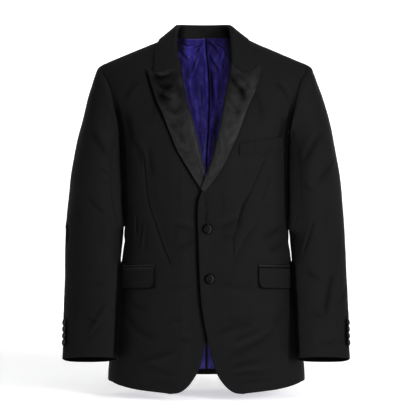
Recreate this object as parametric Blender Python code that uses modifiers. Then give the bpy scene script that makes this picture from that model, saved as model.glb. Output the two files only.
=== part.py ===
"""Two-button peak-lapel dinner jacket, filled out as it is when worn.

Metres, +Z up. The front looks towards -Y, and +X is the wearer's left.
The origin is the middle of the neck, level with the inner ends of the
shoulder seams. A "row" is a distance down from the shoulder line. A "hand"
is +1 for the wearer's left half and -1 for the right half, and sizes across
the body are given away from the middle on that hand's own side.
"""

import math

import bmesh
import bpy
from mathutils import Matrix, Vector

NAME = "suit_jacket"

# Cloth and seams
GAP = 0.0003
FRONT_WALL = 0.0020
BACK_WALL = 0.0016
SLEEVE_WALL = 0.0015
LAPEL_WALL = 0.0024
COLLAR_WALL = 0.0025
LINING_WALL = 0.0010

# Shoulders and neck
SHOULDER_HALF = 0.229
NECK_HALF = 0.075
NECK_MIDDLE = -0.006
NECK_DROP = 0.0255
NECK_FADE = 0.120
RIDGE_ROUND = 0.012
SHOULDER_SLOPE = 0.4205
ARMPIT = 0.240
CHEST_RISE = 0.230
RISE_BEND = 1.6
SECTION_POWER = 0.8
SQUARE_SHOULDER = 0.50
LEAN = 0.0040
LEAN_NEAR = 0.08
LEAN_FAR = 0.13
LEAN_FULL = 0.23
LEAN_END = 0.46
FRONT_NECK_POWER = 0.60
BACK_NECK_POWER = 0.47

# Seams round the body
JOIN = 0.225
HEM_SEAM_FRONT = 0.052
HEM_SEAM_BACK = 0.062
HEM_START = 0.700
SIDE_HEM_FRONT = 0.7715
SIDE_HEM_BACK = 0.7690
BACK_HEM = 0.7757
LAP_STEP = 0.0031
LAP_TOP = 0.270
LAP_FULL = 0.310
LAP_NEAR = 0.030
LAP_FAR = 0.055
VENT_TOP = 0.555
VENT_WIDTH = 0.038


class Table:
    """Rows of named columns, read as smooth curves through the first column."""

    def __init__(self, names, *rows):
        self.names = names.split()
        self.rows = rows

    def slope(self, i, column):
        """Slope of a column at row i, from the rows beside it."""
        before = self.rows[max(i - 1, 0)]
        after = self.rows[min(i + 1, len(self.rows) - 1)]
        return (after[column] - before[column]) / (after[0] - before[0])

    def at(self, place, name):
        """The named column where the first column equals place."""
        column = self.names.index(name)
        i = 0
        while i < len(self.rows) - 2 and place > self.rows[i + 1][0]:
            i += 1
        start, end = self.rows[i], self.rows[i + 1]
        span = end[0] - start[0]
        t = min(max((place - start[0]) / span, 0.0), 1.0)
        rest = 1.0 - t
        return (
            start[column] * (1 + 2 * t) * rest * rest
            + self.slope(i, column) * span * t * rest * rest
            + end[column] * t * t * (3 - 2 * t)
            - self.slope(i + 1, column) * span * t * t * rest
        )


# Half width and half depths of the body, by row
BODY = Table(
    "row half_width front back",
    (0.000, 0.2520, 0.1220, 0.1280),
    (0.054, 0.2465, 0.1220, 0.1285),
    (0.112, 0.2350, 0.1225, 0.1290),
    (0.142, 0.2265, 0.1230, 0.1295),
    (0.172, 0.2165, 0.1235, 0.1300),
    (0.200, 0.2055, 0.1240, 0.1300),
    (0.225, 0.1950, 0.1240, 0.1300),
    (0.244, 0.1905, 0.1240, 0.1295),
    (0.275, 0.1880, 0.1235, 0.1280),
    (0.315, 0.1865, 0.1225, 0.1255),
    (0.355, 0.1858, 0.1205, 0.1210),
    (0.395, 0.1850, 0.1175, 0.1165),
    (0.435, 0.1838, 0.1155, 0.1130),
    (0.460, 0.1842, 0.1155, 0.1130),
    (0.490, 0.1885, 0.1165, 0.1145),
    (0.515, 0.1915, 0.1175, 0.1165),
    (0.555, 0.1955, 0.1195, 0.1205),
    (0.595, 0.2000, 0.1215, 0.1245),
    (0.660, 0.2085, 0.1240, 0.1295),
    (0.740, 0.2195, 0.1260, 0.1330),
    (0.790, 0.2215, 0.1270, 0.1340),
)

# Armhole edge of the front and of the back, by depth under the neck points
ARMHOLE = Table(
    "depth front back",
    (0.064, 0.2290, 0.2290),
    (0.088, 0.2255, 0.2275),
    (0.100, 0.2168, 0.2230),
    (0.128, 0.2062, 0.2145),
    (0.165, 0.1972, 0.2055),
    (0.202, 0.1888, 0.1960),
    (0.229, 0.1856, 0.1890),
    (0.245, 0.1850, 0.1880),
)

# Inner edge of each front, by depth: neck, roll line, front edge, cutaway quarter
FRONT_EDGE = {
    1: Table(
        "depth x",
        (0.000, 0.0690),
        (0.010, 0.0655),
        (0.030, 0.0635),
        (0.065, 0.0600),
        (0.085, 0.0566),
        (0.151, 0.0436),
        (0.208, 0.0343),
        (0.261, 0.0220),
        (0.302, 0.0077),
        (0.330, -0.0035),
        (0.355, -0.0117),
        (0.372, -0.0176),
        (0.406, -0.0195),
        (0.454, -0.0178),
        (0.511, -0.0160),
        (0.587, -0.0117),
        (0.634, -0.0052),
        (0.673, 0.0022),
        (0.702, 0.0088),
        (0.734, 0.0174),
        (0.754, 0.0262),
        (0.771, 0.0384),
        (0.782, 0.0500),
        (0.7895, 0.0640),
        (0.7915, 0.0790),
    ),
    -1: Table(
        "depth x",
        (0.000, 0.0810),
        (0.010, 0.0770),
        (0.030, 0.0715),
        (0.065, 0.0630),
        (0.075, 0.0613),
        (0.151, 0.0471),
        (0.184, 0.0378),
        (0.250, 0.0225),
        (0.306, 0.0083),
        (0.345, -0.0080),
        (0.372, -0.0180),
        (0.406, -0.0220),
        (0.454, -0.0220),
        (0.511, -0.0210),
        (0.560, -0.0180),
        (0.600, -0.0140),
        (0.634, -0.0080),
        (0.665, -0.0014),
        (0.696, 0.0056),
        (0.728, 0.0122),
        (0.745, 0.0197),
        (0.759, 0.0277),
        (0.774, 0.0386),
        (0.784, 0.0507),
        (0.7895, 0.0630),
        (0.7915, 0.0800),
    ),
}

# Depth of the front hem, by share of the way from its lowest point to the side seam
FRONT_HEM = Table(
    "share depth",
    (0.00, 0.7915),
    (0.25, 0.7875),
    (0.50, 0.7835),
    (0.75, 0.7777),
    (1.00, SIDE_HEM_FRONT),
)

# Rows of the panels: shoulder to armpit, then armpit to hem
ROWS = (
    0.000, 0.006, 0.016, 0.032, 0.054, 0.082, 0.112, 0.142, 0.172, 0.200, 0.225,
    0.245, 0.275, 0.315, 0.355, 0.395, 0.435, 0.475, 0.515, 0.555, 0.595, 0.635,
    0.670, 0.700, 0.725, 0.747, 0.765, 0.779, 0.789,
)
JOIN_ROW = ROWS.index(JOIN)
FRONT_CELLS = 11
BACK_NECK_CELLS = 3
BACK_OUTER_CELLS = 6
SIDE_CELLS = 6
ARMHOLE_SAG = 0.015
ARMHOLE_SAG_ROWS = (1.0, 0.6, 0.25)

# Largest drag folds of the fronts: soft troughs from one end to the other
FOLDS = {
    1: Table(
        "number x0 z0 x1 z1 width depth",
        (0, 0.123, -0.281, 0.092, -0.355, 0.016, 0.0030),
        (1, 0.096, -0.345, 0.060, -0.440, 0.014, 0.0030),
        (2, 0.113, -0.411, 0.058, -0.505, 0.014, 0.0026),
        (3, 0.060, -0.632, 0.130, -0.640, 0.018, 0.0022),
        (4, 0.066, -0.700, 0.150, -0.706, 0.018, 0.0020),
    ),
    -1: Table(
        "number x0 z0 x1 z1 width depth",
        (0, 0.133, -0.263, 0.118, -0.380, 0.013, 0.0024),
        (1, 0.119, -0.370, 0.076, -0.512, 0.013, 0.0028),
        (2, 0.150, -0.405, 0.138, -0.470, 0.016, 0.0026),
        (3, 0.020, -0.660, 0.110, -0.675, 0.020, 0.0020),
    ),
}

# Outer edge of each lapel, by depth
LAPEL_EDGE = {
    1: Table(
        "depth x",
        (0.0714, 0.1205),
        (0.0880, 0.1203),
        (0.1290, 0.1082),
        (0.1540, 0.0965),
        (0.1790, 0.0865),
        (0.2260, 0.0689),
        (0.2530, 0.0566),
        (0.2880, 0.0410),
        (0.3260, 0.0180),
        (0.3470, 0.0017),
    ),
    -1: Table(
        "depth x",
        (0.0816, 0.1313),
        (0.0900, 0.1290),
        (0.1505, 0.1097),
        (0.1726, 0.0993),
        (0.2150, 0.0815),
        (0.2596, 0.0634),
        (0.3166, 0.0306),
        (0.3440, 0.0125),
    ),
}
LAPEL_TOP = {1: 0.0650, -1: 0.0690}
LAPEL_END = {1: 0.3460, -1: 0.3140}
LAPEL_TIP = {1: 0.0714, -1: 0.0816}
LAPEL_FOOT = {1: 0.3470, -1: 0.3430}
LAPEL_ROWS = 14
LAPEL_FULL_WIDTH = 0.030
LAPEL_LEAST_ROLL = 0.8

# Dip of the gorge seam under the straight line from roll to peak
GORGE_DIP = {
    1: Table(
        "share dip",
        (-0.100, 0.0000),
        (-0.063, 0.0009),
        (-0.043, 0.0030),
        (0.030, 0.0128),
        (0.100, 0.0172),
        (0.205, 0.0218),
        (0.435, 0.0234),
        (0.666, 0.0162),
        (0.800, 0.0104),
        (0.920, 0.0036),
        (1.000, 0.0000),
    ),
    -1: Table(
        "share dip",
        (-0.100, -0.0060),
        (-0.055, -0.0046),
        (0.000, -0.0020),
        (0.100, 0.0026),
        (0.200, 0.0070),
        (0.345, 0.0124),
        (0.524, 0.0147),
        (0.747, 0.0116),
        (0.926, 0.0040),
        (1.000, 0.0000),
    ),
}

# Section of the roll: distance from the front's edge and lift above the front
ROLL = ((-0.0026, -0.0014), (-0.0038, 0.0010), (-0.0026, 0.0038), (0.0018, 0.0056))
# Section of the lapel beyond the roll: share of its width and lift
LAY = ((0.20, 0.0060), (0.40, 0.0060), (0.60, 0.0052), (0.80, 0.0044), (1.00, 0.0036))

# Collar, from the middle of the back to the gorge: fold line, then outer edge
COLLAR = Table(
    "station fold_x fold_y fold_z edge_x edge_z edge_lift",
    (0, 0.0000, 0.0610, 0.0305, 0.0000, -0.0130, 0.0036),
    (1, 0.0230, 0.0590, 0.0305, 0.0300, -0.0135, 0.0036),
    (2, 0.0410, 0.0510, 0.0300, 0.0580, -0.0135, 0.0036),
    (3, 0.0545, 0.0350, 0.0285, 0.0830, -0.0140, 0.0052),
    (4, 0.0610, 0.0130, 0.0240, 0.0980, -0.0100, 0.0070),
    (5, 0.0625, -0.0110, 0.0125, 0.1015, -0.0165, 0.0056),
    (6, 0.0622, -0.0290, -0.0035, 0.1052, -0.0300, 0.0042),
    (7, 0.0620, -0.0490, -0.0220, 0.1085, -0.0460, 0.0036),
    (8, 0.0620, -0.0650, -0.0430, 0.1095, -0.0620, 0.0036),
    (9, 0.0626, -0.0765, -0.0640, 0.1092, -0.0785, 0.0036),
)
COLLAR_NECK_DEPTHS = (0.006, 0.016, 0.031, 0.048, 0.0640)
COLLAR_FOLD = 0.0034
COLLAR_BACK_STATIONS = 5
GORGE_GAP = 0.0012

# Sleeves, armhole to cuff: outer line (right and left arm), inner line, half depth,
# middle, shear of the section and tilt of the ring
SLEEVE = Table(
    "ring outer_z outer_right outer_left inner_z inner_x half_depth middle_y shear tilt",
    (0, -0.0640, 0.2330, 0.2250, -0.2400, 0.1900, 0.0570, 0.000, 0, 0),
    (1, -0.0735, 0.2430, 0.2362, -0.2425, 0.1925, 0.0600, 0.000, 0, 0),
    (2, -0.0850, 0.2495, 0.2422, -0.2500, 0.1906, 0.0620, 0.000, 0, 0),
    (3, -0.1080, 0.2565, 0.2504, -0.2650, 0.1894, 0.0645, 0.000, 0, 0),
    (4, -0.1400, 0.2666, 0.2618, -0.2880, 0.1884, 0.0670, 0.001, 0, 0),
    (5, -0.1870, 0.2780, 0.2757, -0.3160, 0.1873, 0.0685, 0.001, 0, 0),
    (6, -0.2380, 0.2917, 0.2872, -0.3480, 0.1866, 0.0690, 0.003, 4, 0),
    (7, -0.2950, 0.3035, 0.2984, -0.3840, 0.1858, 0.0675, 0.005, 8, 0),
    (8, -0.3500, 0.3104, 0.3060, -0.4220, 0.1848, 0.0650, 0.006, 13, 0),
    (9, -0.4100, 0.3170, 0.3109, -0.4620, 0.1872, 0.0610, 0.003, 18, 2),
    (10, -0.4750, 0.3188, 0.3138, -0.5130, 0.1912, 0.0555, -0.012, 23, 6),
    (11, -0.5450, 0.3182, 0.3153, -0.5700, 0.1930, 0.0505, -0.031, 27, 10),
    (12, -0.6120, 0.3186, 0.3170, -0.6270, 0.1950, 0.0455, -0.050, 28, 12),
    (13, -0.6690, 0.3175, 0.3160, -0.6765, 0.1968, 0.0410, -0.067, 28, 13),
    (14, -0.7172, 0.3184, 0.3174, -0.7210, 0.1985, 0.0380, -0.080, 28, 13),
)
RINGS = 14
ARMHOLE_FADE_RINGS = 5
HIND_SEAM_TURN = 80
FORE_SEAM_TURN = 45
SEAM_TURN_START = 6
HIND_ANGLE = -60
FORE_ANGLE = 125

# Pockets: chest welt, hip jets and flaps
WELT_X = (0.0720, 0.1660)
WELT_TOP = -0.2468
WELT_RISE = 0.169
WELT_HEIGHT = 0.0255
WELT_CELLS = 7
FLAP_X = 0.1130
FLAP_END = 76
FLAP_TOP = 0.5175
FLAP_HEIGHT = 0.0450
FLAP_SLANT = 0.0050
FLAP_CORNER = 0.0050
FLAP_CELLS = 8
JET_HEIGHT = 0.0068
JET_LIFTS = (0.0010, 0.0024)
FLAP_LIFTS = (0.0011, 0.0028)
WELT_LIFTS = (0.0012, 0.0028)

# Buttons
FRONT_BUTTONS = ((0.0017, -0.4326), (0.0067, -0.5413))
FRONT_BUTTON_RADIUS = 0.0100
CUFF_BUTTON_RADIUS = 0.0074
CUFF_BUTTON_HEIGHTS = (-0.6400, -0.6545, -0.6690, -0.6835)
CUFF_BUTTON_ANGLE = 24
BUTTON_GAP = 0.0008
# Turned outline of a covered button, in radii
BUTTON_OUTLINE = ((0.0, 0.44), (0.55, 0.38), (0.88, 0.24), (1.0, 0.10), (0.80, 0.0), (0.0, 0.0))

COLOURS = {
    "wool": (0.012, 0.012, 0.013, 1.0),
    "satin": (0.022, 0.022, 0.023, 1.0),
    "lining": (0.045, 0.026, 0.150, 1.0),
}
ROUGHNESS = {"wool": 0.85, "satin": 0.38, "lining": 0.42}


def smooth(low, high, value):
    """0 below low, 1 above high, and an even curve between."""
    t = min(max((value - low) / (high - low), 0.0), 1.0)
    return t * t * (3 - 2 * t)


def signed_power(value, power):
    return math.copysign(abs(value) ** power, value)


# ---------------------------------------------------------------- the body's form

def shoulder_drop(x):
    """How far the shoulder line lies under the neck points."""
    return SHOULDER_SLOPE * (math.hypot(x, RIDGE_ROUND) - math.hypot(NECK_HALF, RIDGE_ROUND))


def height(x, row):
    """Height of a row: rows follow the shoulder line at the top and level out below."""
    return -row - shoulder_drop(x) * max(1 - row / ARMPIT, 0.0)


def row_at(x, z):
    """The row that passes through x and z."""
    drop = shoulder_drop(x)
    row = (-z - drop) / (1 - drop / ARMPIT)
    return max(row, 0.0) if row < ARMPIT else -z


def half_depth(x, row, back):
    """How far the body reaches forward or back at its middle."""
    near_neck = BACK_NECK_POWER if back else FRONT_NECK_POWER
    square = smooth(0.06, 0.20, abs(x))
    power = near_neck + (SQUARE_SHOULDER - near_neck) * square
    climb = 1 - (1 - min(row / CHEST_RISE, 1.0)) ** RISE_BEND
    return BODY.at(row, "back" if back else "front") * climb ** power


def lap_inset(hand, x, row):
    """The right front steps in where the left front laps over it."""
    if hand > 0:
        return 0.0
    near = 1 - smooth(LAP_NEAR, LAP_FAR, x)
    return LAP_STEP * near * smooth(LAP_TOP, LAP_FULL, row)


def lean(x, row):
    """How far the shoulders and arms stand towards the wearer's right at a place."""
    return LEAN * smooth(LEAN_NEAR, LEAN_FAR, abs(x)) * (1 - smooth(LEAN_FULL, LEAN_END, row))


def form(hand, angle, row):
    """Point of the body's outer face: angle 0 is the front middle and pi the back's."""
    x = BODY.at(row, "half_width") * signed_power(math.sin(angle), SECTION_POWER)
    forward = signed_power(math.cos(angle), SECTION_POWER)
    y = -forward * half_depth(x, row, forward < 0)
    if forward > 0:
        y += lap_inset(hand, x, row)
    return Vector((hand * x - lean(x, row), y, height(x, row)))


def form_normal(hand, angle, row):
    """Unit vector out of the body's face."""
    step = 0.0005
    down = form(hand, angle, row + step) - form(hand, angle, max(row - step, 0.0))
    across = form(hand, angle + step, row) - form(hand, angle - step, row)
    if row < step:
        across = form(hand, angle + step, 0.0) - form(hand, angle - step, 0.0)
        down = Vector((0.0, -math.copysign(1.0, math.cos(angle)), 0.0))
    return hand * down.cross(across).normalized()


def angle_of(x, row, back=False):
    """Angle whose point lies x from the middle."""
    reach = min(max(x / BODY.at(row, "half_width"), -1.0), 1.0)
    angle = math.asin(signed_power(reach, 1 / SECTION_POWER))
    return math.pi - angle if back else angle


def side_angle(y, row):
    """Angle of the side whose point lies at y, negative for the front."""
    deep = half_depth(BODY.at(row, "half_width"), row, y > 0)
    lean = min(abs(y) / deep, 1.0) ** (1 / SECTION_POWER)
    return math.acos(lean) if y < 0 else math.pi - math.acos(lean)


def settle(row, edge_at_depth):
    """Width where an edge given by depth crosses a row."""
    x = edge_at_depth(row)
    for _ in range(12):
        x = edge_at_depth(-height(x, row))
    return x


def armhole_angle(row, back):
    column = "back" if back else "front"
    return angle_of(settle(row, lambda depth: ARMHOLE.at(depth, column)), row, back)


JOIN_FRONT_Y = form(1, armhole_angle(JOIN, False), JOIN).y
JOIN_BACK_Y = form(1, armhole_angle(JOIN, True), JOIN).y


def outer_angle(row, back):
    """Outer edge of a front or back panel: armhole, then side seam."""
    if row <= JOIN:
        return armhole_angle(row, back)
    share = (row - JOIN) / (BACK_HEM - JOIN)
    if back:
        return side_angle(JOIN_BACK_Y + (HEM_SEAM_BACK - JOIN_BACK_Y) * share, row)
    return side_angle(JOIN_FRONT_Y - (HEM_SEAM_FRONT + JOIN_FRONT_Y) * share, row)


def inner_angle(hand, row):
    """Inner edge of a front: neck, roll line, front edge and cutaway."""
    return angle_of(settle(row, lambda depth: FRONT_EDGE[hand].at(depth, "x")), row)


def hem_row(row, hem):
    """Rows near the hem close up so that the last one lies on it."""
    if row <= HEM_START:
        return row
    return HEM_START + (row - HEM_START) * (hem - HEM_START) / (ROWS[-1] - HEM_START)


def fold_trough(hand, x, z):
    """How far the drag folds pull the front in at a place."""
    pull = 0.0
    for _, x0, z0, x1, z1, width, depth in FOLDS[hand].rows:
        run = Vector((x1 - x0, z1 - z0))
        t = Vector((x - x0, z - z0)).dot(run) / run.length_squared
        t = min(max(t, 0.0), 1.0)
        away = (Vector((x - x0, z - z0)) - run * t).length / width
        pull += depth * math.exp(-away * away) * (0.35 + 0.65 * math.sin(math.pi * t))
    return pull


def lifted(hand, x, z, lift, back=False):
    """Point over the front or back panel at x and z, moved out by lift."""
    x += hand * lean(x, row_at(x, z))
    row = row_at(x, z)
    angle = angle_of(x, row, back)
    return form(hand, angle, row) + form_normal(hand, angle, row) * lift


# ---------------------------------------------------------------- meshes

def grid_normals(grid):
    """Unit normals of a grid of points, from its neighbours."""
    normals = []
    for i, line in enumerate(grid):
        above = grid[max(i - 1, 0)]
        below = grid[min(i + 1, len(grid) - 1)]
        row_normals = []
        for j in range(len(line)):
            before = line[max(j - 1, 0)]
            after = line[min(j + 1, len(line) - 1)]
            row_normals.append((below[j] - above[j]).cross(after - before).normalized())
        normals.append(row_normals)
    return normals


def offset_grid(grid, normals, distance):
    return [
        [point + normal * distance for point, normal in zip(line, line_normals)]
        for line, line_normals in zip(grid, normals)
    ]


def trimmed(grid, top=0.0, bottom=0.0, first=0.0, last=0.0):
    """The grid with its edges drawn in by these lengths."""
    def pulled(point, towards, length):
        return point + (towards - point).normalized() * length

    new = [list(line) for line in grid]
    if top:
        new[0] = [pulled(p, q, top) for p, q in zip(new[0], new[1])]
    if bottom:
        new[-1] = [pulled(p, q, bottom) for p, q in zip(new[-1], new[-2])]
    for line in new:
        if first:
            line[0] = pulled(line[0], line[1], first)
        if last:
            line[-1] = pulled(line[-1], line[-2], last)
    return new


def material(kind):
    """Plain material of one kind of cloth, made once."""
    name = NAME + "_" + kind
    made = bpy.data.materials.get(name)
    if made:
        return made
    made = bpy.data.materials.new(name)
    made.use_nodes = True
    shader = made.node_tree.nodes["Principled BSDF"]
    shader.inputs["Base Color"].default_value = COLOURS[kind]
    shader.inputs["Roughness"].default_value = ROUGHNESS[kind]
    shader.inputs["Metallic"].default_value = 0.0
    return made


def add_object(name, mesh, kind):
    """Put a mesh in the jacket's collection with its own copy of a cloth material."""
    finish = material(kind).copy()
    finish.name = name
    mesh.materials.clear()
    mesh.materials.append(finish)
    piece = bpy.data.objects.new(name, mesh)
    bpy.data.collections[NAME].objects.link(piece)
    return piece


def wall(name, outer, inner, kind):
    """Closed wall between two grids of points that match one another."""
    mesh = bpy.data.meshes.new(name)
    shape = bmesh.new()
    sheets = [[[shape.verts.new(p) for p in line] for line in grid] for grid in (outer, inner)]
    rows, columns = len(outer), len(outer[0])
    for sheet in sheets:
        for i in range(rows - 1):
            for j in range(columns - 1):
                a, b = sheet[i][j], sheet[i][j + 1]
                c, d = sheet[i + 1][j + 1], sheet[i + 1][j]
                shape.faces.new((a, b, c))
                shape.faces.new((a, c, d))
    rim = [(0, j) for j in range(columns)]
    rim += [(i, columns - 1) for i in range(1, rows)]
    rim += [(rows - 1, j) for j in range(columns - 2, -1, -1)]
    rim += [(i, 0) for i in range(rows - 2, 0, -1)]
    for (i, j), (k, m) in zip(rim, rim[1:] + rim[:1]):
        shape.faces.new((sheets[0][i][j], sheets[0][k][m], sheets[1][k][m]))
        shape.faces.new((sheets[0][i][j], sheets[1][k][m], sheets[1][i][j]))
    bmesh.ops.recalc_face_normals(shape, faces=shape.faces)
    shape.to_mesh(mesh)
    shape.free()
    mesh.shade_smooth()
    mesh.set_sharp_from_angle(angle=math.radians(50))
    return add_object(name, mesh, kind)


def centred_wall(name, middle, thickness, kind):
    """Wall with half its thickness on each side of a grid."""
    normals = grid_normals(middle)
    outer = offset_grid(middle, normals, thickness / 2)
    inner = offset_grid(middle, normals, -thickness / 2)
    return wall(name, outer, inner, kind)


# ---------------------------------------------------------------- body panels

def panel_grids(places, hand, inset, thickness):
    """Outer and inner points of a body panel from its grid of (angle, row)."""
    outer = []
    inner = []
    for line in places:
        outer_line = []
        inner_line = []
        for angle, row in line:
            point = form(hand, angle, row)
            normal = form_normal(hand, angle, row)
            if angle < math.pi / 2:
                point -= normal * fold_trough(hand, point.x * hand, point.z)
            outer_line.append(point - normal * inset)
            inner_line.append(point - normal * (inset + thickness))
        outer.append(outer_line)
        inner.append(inner_line)
    return outer, inner


def front_places(hand):
    places = []
    for row in ROWS:
        line = []
        for j in range(FRONT_CELLS + 1):
            share = j / FRONT_CELLS
            here = hem_row(row, FRONT_HEM.at(share, "depth"))
            start = inner_angle(hand, here)
            line.append((start + (outer_angle(here, False) - start) * share, here))
        places.append(line)
    return places


def back_shares(hand):
    """Columns of a back panel, as shares of its width, with one at the neck point."""
    neck = angle_of(neck_half(hand), 0.0) / angle_of(SHOULDER_HALF, 0.0)
    shares = [neck * j / BACK_NECK_CELLS for j in range(BACK_NECK_CELLS)]
    shares += [neck + (1 - neck) * j / BACK_OUTER_CELLS for j in range(BACK_OUTER_CELLS + 1)]
    return shares


def neck_half(hand):
    return NECK_HALF + hand * NECK_MIDDLE


def neck_row(hand, x):
    """Row of the back neckline at x."""
    return NECK_DROP * max(1 - (abs(x) / neck_half(hand)) ** 1.6, 0.0)


def back_places(hand):
    places = []
    for row in ROWS:
        line = []
        for share in back_shares(hand):
            here = hem_row(row, BACK_HEM + (SIDE_HEM_BACK - BACK_HEM) * share)
            top_angle = angle_of(SHOULDER_HALF, 0.0) * share
            top_x = BODY.at(0.0, "half_width") * math.sin(top_angle) ** SECTION_POWER
            here += neck_row(hand, top_x) * max(1 - row / NECK_FADE, 0.0)
            end = outer_angle(here, True)
            line.append((math.pi + (end - math.pi) * share, here))
        places.append(line)
    return places


def side_places():
    """Underarm panel: its top sags to the armpit between the two joins."""
    places = []
    for i, row in enumerate(ROWS[JOIN_ROW:]):
        sag = ARMHOLE_SAG * (ARMHOLE_SAG_ROWS[i] if i < len(ARMHOLE_SAG_ROWS) else 0.0)
        line = []
        for j in range(SIDE_CELLS + 1):
            share = j / SIDE_CELLS
            here = hem_row(row, SIDE_HEM_FRONT + (SIDE_HEM_BACK - SIDE_HEM_FRONT) * share)
            here += sag * (1 - (2 * share - 1) ** 2)
            start, end = outer_angle(here, False), outer_angle(here, True)
            line.append((start + (end - start) * share, here))
        places.append(line)
    return places


def build_body(hand, side):
    """Front, side and back panels of one half."""
    half_gap = GAP / 2
    grids = panel_grids(front_places(hand), hand, 0.0, FRONT_WALL)
    outer, inner = (trimmed(g, top=half_gap, last=GAP) for g in grids)
    wall("front_" + side, outer, inner, "wool")
    grids = panel_grids(side_places(), hand, 0.0, BACK_WALL)
    outer, inner = (trimmed(g, top=GAP, first=half_gap, last=half_gap) for g in grids)
    wall("side_" + side, outer, inner, "wool")
    grids = panel_grids(back_places(hand), hand, 0.0, BACK_WALL)
    outer, inner = (trimmed(g, top=half_gap, first=half_gap, last=GAP) for g in grids)
    wall("back_" + side, outer, inner, "wool")


def build_vent():
    """Underlap sewn to the right back, behind the left back below the vent's top."""
    rows = [VENT_TOP + (BACK_HEM - 0.002 - VENT_TOP) * i / 6 for i in range(7)]
    places = []
    for row in rows:
        reach = (-0.006, 0.004, 0.015, 0.026, VENT_WIDTH)
        places.append([(angle_of(x, row, True), row) for x in reach])
    outer, inner = panel_grids(places, 1, BACK_WALL + 0.0006, LINING_WALL)
    wall("vent_underlap", outer, inner, "wool")


def build_lining(hand, side):
    """Back lining: hangs inside the back, with a pleat down the middle at the top."""
    rows = (0.0, 0.016, 0.054, 0.112, 0.172, 0.225, 0.275, 0.355, 0.435, 0.515, 0.595, 0.670,
            0.725, 0.7615)
    shares = (0.0, 0.06, 0.12, 0.25, 0.45, 0.70, 0.97)
    places = []
    for row in rows:
        line = []
        for share in shares:
            top_x = BODY.at(0.0, "half_width") * math.sin(1.34 * share) ** SECTION_POWER
            here = row + neck_row(hand, top_x) * max(1 - row / NECK_FADE, 0.0)
            end = outer_angle(here, True)
            line.append((math.pi + (end - math.pi) * share, here))
        places.append(line)
    outer, inner = panel_grids(places, hand, 0.0042, LINING_WALL)
    for i, row in enumerate(rows):
        pleat = 0.0030 * (1 - smooth(0.30, 0.50, row))
        for grid in (outer, inner):
            grid[i][1].y -= pleat
            grid[i][0].x += hand * 0.0006
    wall("lining_" + side, outer, inner, "lining")


# ---------------------------------------------------------------- lapels and collar

def lapel_plan(hand, share, fall):
    """Place on the front at a share of the lapel's width and of its length."""
    roll_depth = LAPEL_TOP[hand] + (LAPEL_END[hand] - LAPEL_TOP[hand]) * fall
    edge_depth = LAPEL_TIP[hand] + (LAPEL_FOOT[hand] - LAPEL_TIP[hand]) * fall
    roll_x = FRONT_EDGE[hand].at(roll_depth, "x")
    edge_x = LAPEL_EDGE[hand].at(edge_depth, "x")
    dip = GORGE_DIP[hand].at(share, "dip") * (1 - fall) ** 3
    z = -(roll_depth + (edge_depth - roll_depth) * share) - dip
    return roll_x + (edge_x - roll_x) * share, z


def lapel_section(hand, fall):
    """Mid-wall points of the lapel across one line, from inside the roll to its edge."""
    roll_x, _ = lapel_plan(hand, 0.0, fall)
    edge_x, _ = lapel_plan(hand, 1.0, fall)
    width = edge_x - roll_x
    scale = min(width / LAPEL_FULL_WIDTH, 1.0)
    points = []
    for distance, lift in ROLL:
        reach = distance * max(scale, LAPEL_LEAST_ROLL)
        _, z = lapel_plan(hand, reach / width, fall)
        points.append(lifted(hand, roll_x + reach, z, lift))
    for share, lift in LAY:
        x, z = lapel_plan(hand, share, fall)
        points.append(lifted(hand, x, z, LAY[-1][1] + (lift - LAY[-1][1]) * scale))
    return points


def build_lapel(hand, side):
    middle = [lapel_section(hand, i / LAPEL_ROWS) for i in range(LAPEL_ROWS + 1)]
    centred_wall("lapel_" + side, middle, LAPEL_WALL, "satin")


def collar_neck_point(hand, station):
    """Mid-wall point where the collar stands on the neck seam."""
    if station < COLLAR_BACK_STATIONS:
        x = neck_half(hand) * min(station / (COLLAR_BACK_STATIONS - 1), 1.0) ** 0.9
        row = neck_row(hand, x)
        angle = angle_of(x, row, True)
        point = form(hand, angle, row)
        normal = form_normal(hand, angle, row)
        lift = 0.0012 if row > 0 else 0.0016
        return point - normal * (BACK_WALL / 2) + Vector((-hand * 0.0010, 0.0, lift))
    depth = COLLAR_NECK_DEPTHS[station - COLLAR_BACK_STATIONS]
    x = FRONT_EDGE[hand].at(depth, "x")
    return lifted(hand, x + ROLL[0][0] - 0.0006, -depth, ROLL[0][1])


def standing_section(hand, station):
    """Collar across a station where it stands: up the stand, over the fold, down the fall."""
    def of(name):
        return COLLAR.at(station, name)

    middle = hand * NECK_MIDDLE
    base = collar_neck_point(hand, station)
    fold = Vector((hand * (of("fold_x") + middle), of("fold_y"), of("fold_z")))
    behind = station < COLLAR_BACK_STATIONS
    edge = lifted(hand, of("edge_x") + middle, of("edge_z"), of("edge_lift"), behind)
    up = Vector((0, 0, 1))
    out = edge - fold
    out = (out - up * out.dot(up)).normalized()
    before = fold - out * COLLAR_FOLD - up * COLLAR_FOLD * 0.9
    after = fold + out * COLLAR_FOLD * 1.2 - up * COLLAR_FOLD * 0.5
    points = [base, base.lerp(before, 0.5), before, fold, after]
    points += [after.lerp(edge, share) for share in (0.25, 0.5, 0.75)]
    return points + [edge]


def rolling_section(hand, station):
    """Collar across a station where it lies on the front and rolls as the lapel does."""
    gorge = smooth(6, 9, station)
    roll_x, _ = lapel_plan(hand, 0.0, 0.0)
    depth = COLLAR_NECK_DEPTHS[station - COLLAR_BACK_STATIONS]
    depth -= (gorge_height(hand, roll_x + ROLL[0][0]) + depth) * gorge
    start = FRONT_EDGE[hand].at(depth, "x")
    edge_x = COLLAR.at(station, "edge_x") + hand * NECK_MIDDLE
    edge_z = COLLAR.at(station, "edge_z")
    places = [(start + distance, -depth, lift) for distance, lift in ROLL]
    for share, lift in LAY:
        across = start + (edge_x - start) * share
        places.append((across, -depth + (edge_z + depth) * share, lift))
    return [
        lifted(hand, x, z + (gorge_height(hand, x) - z) * gorge, lift) for x, z, lift in places
    ]


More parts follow.
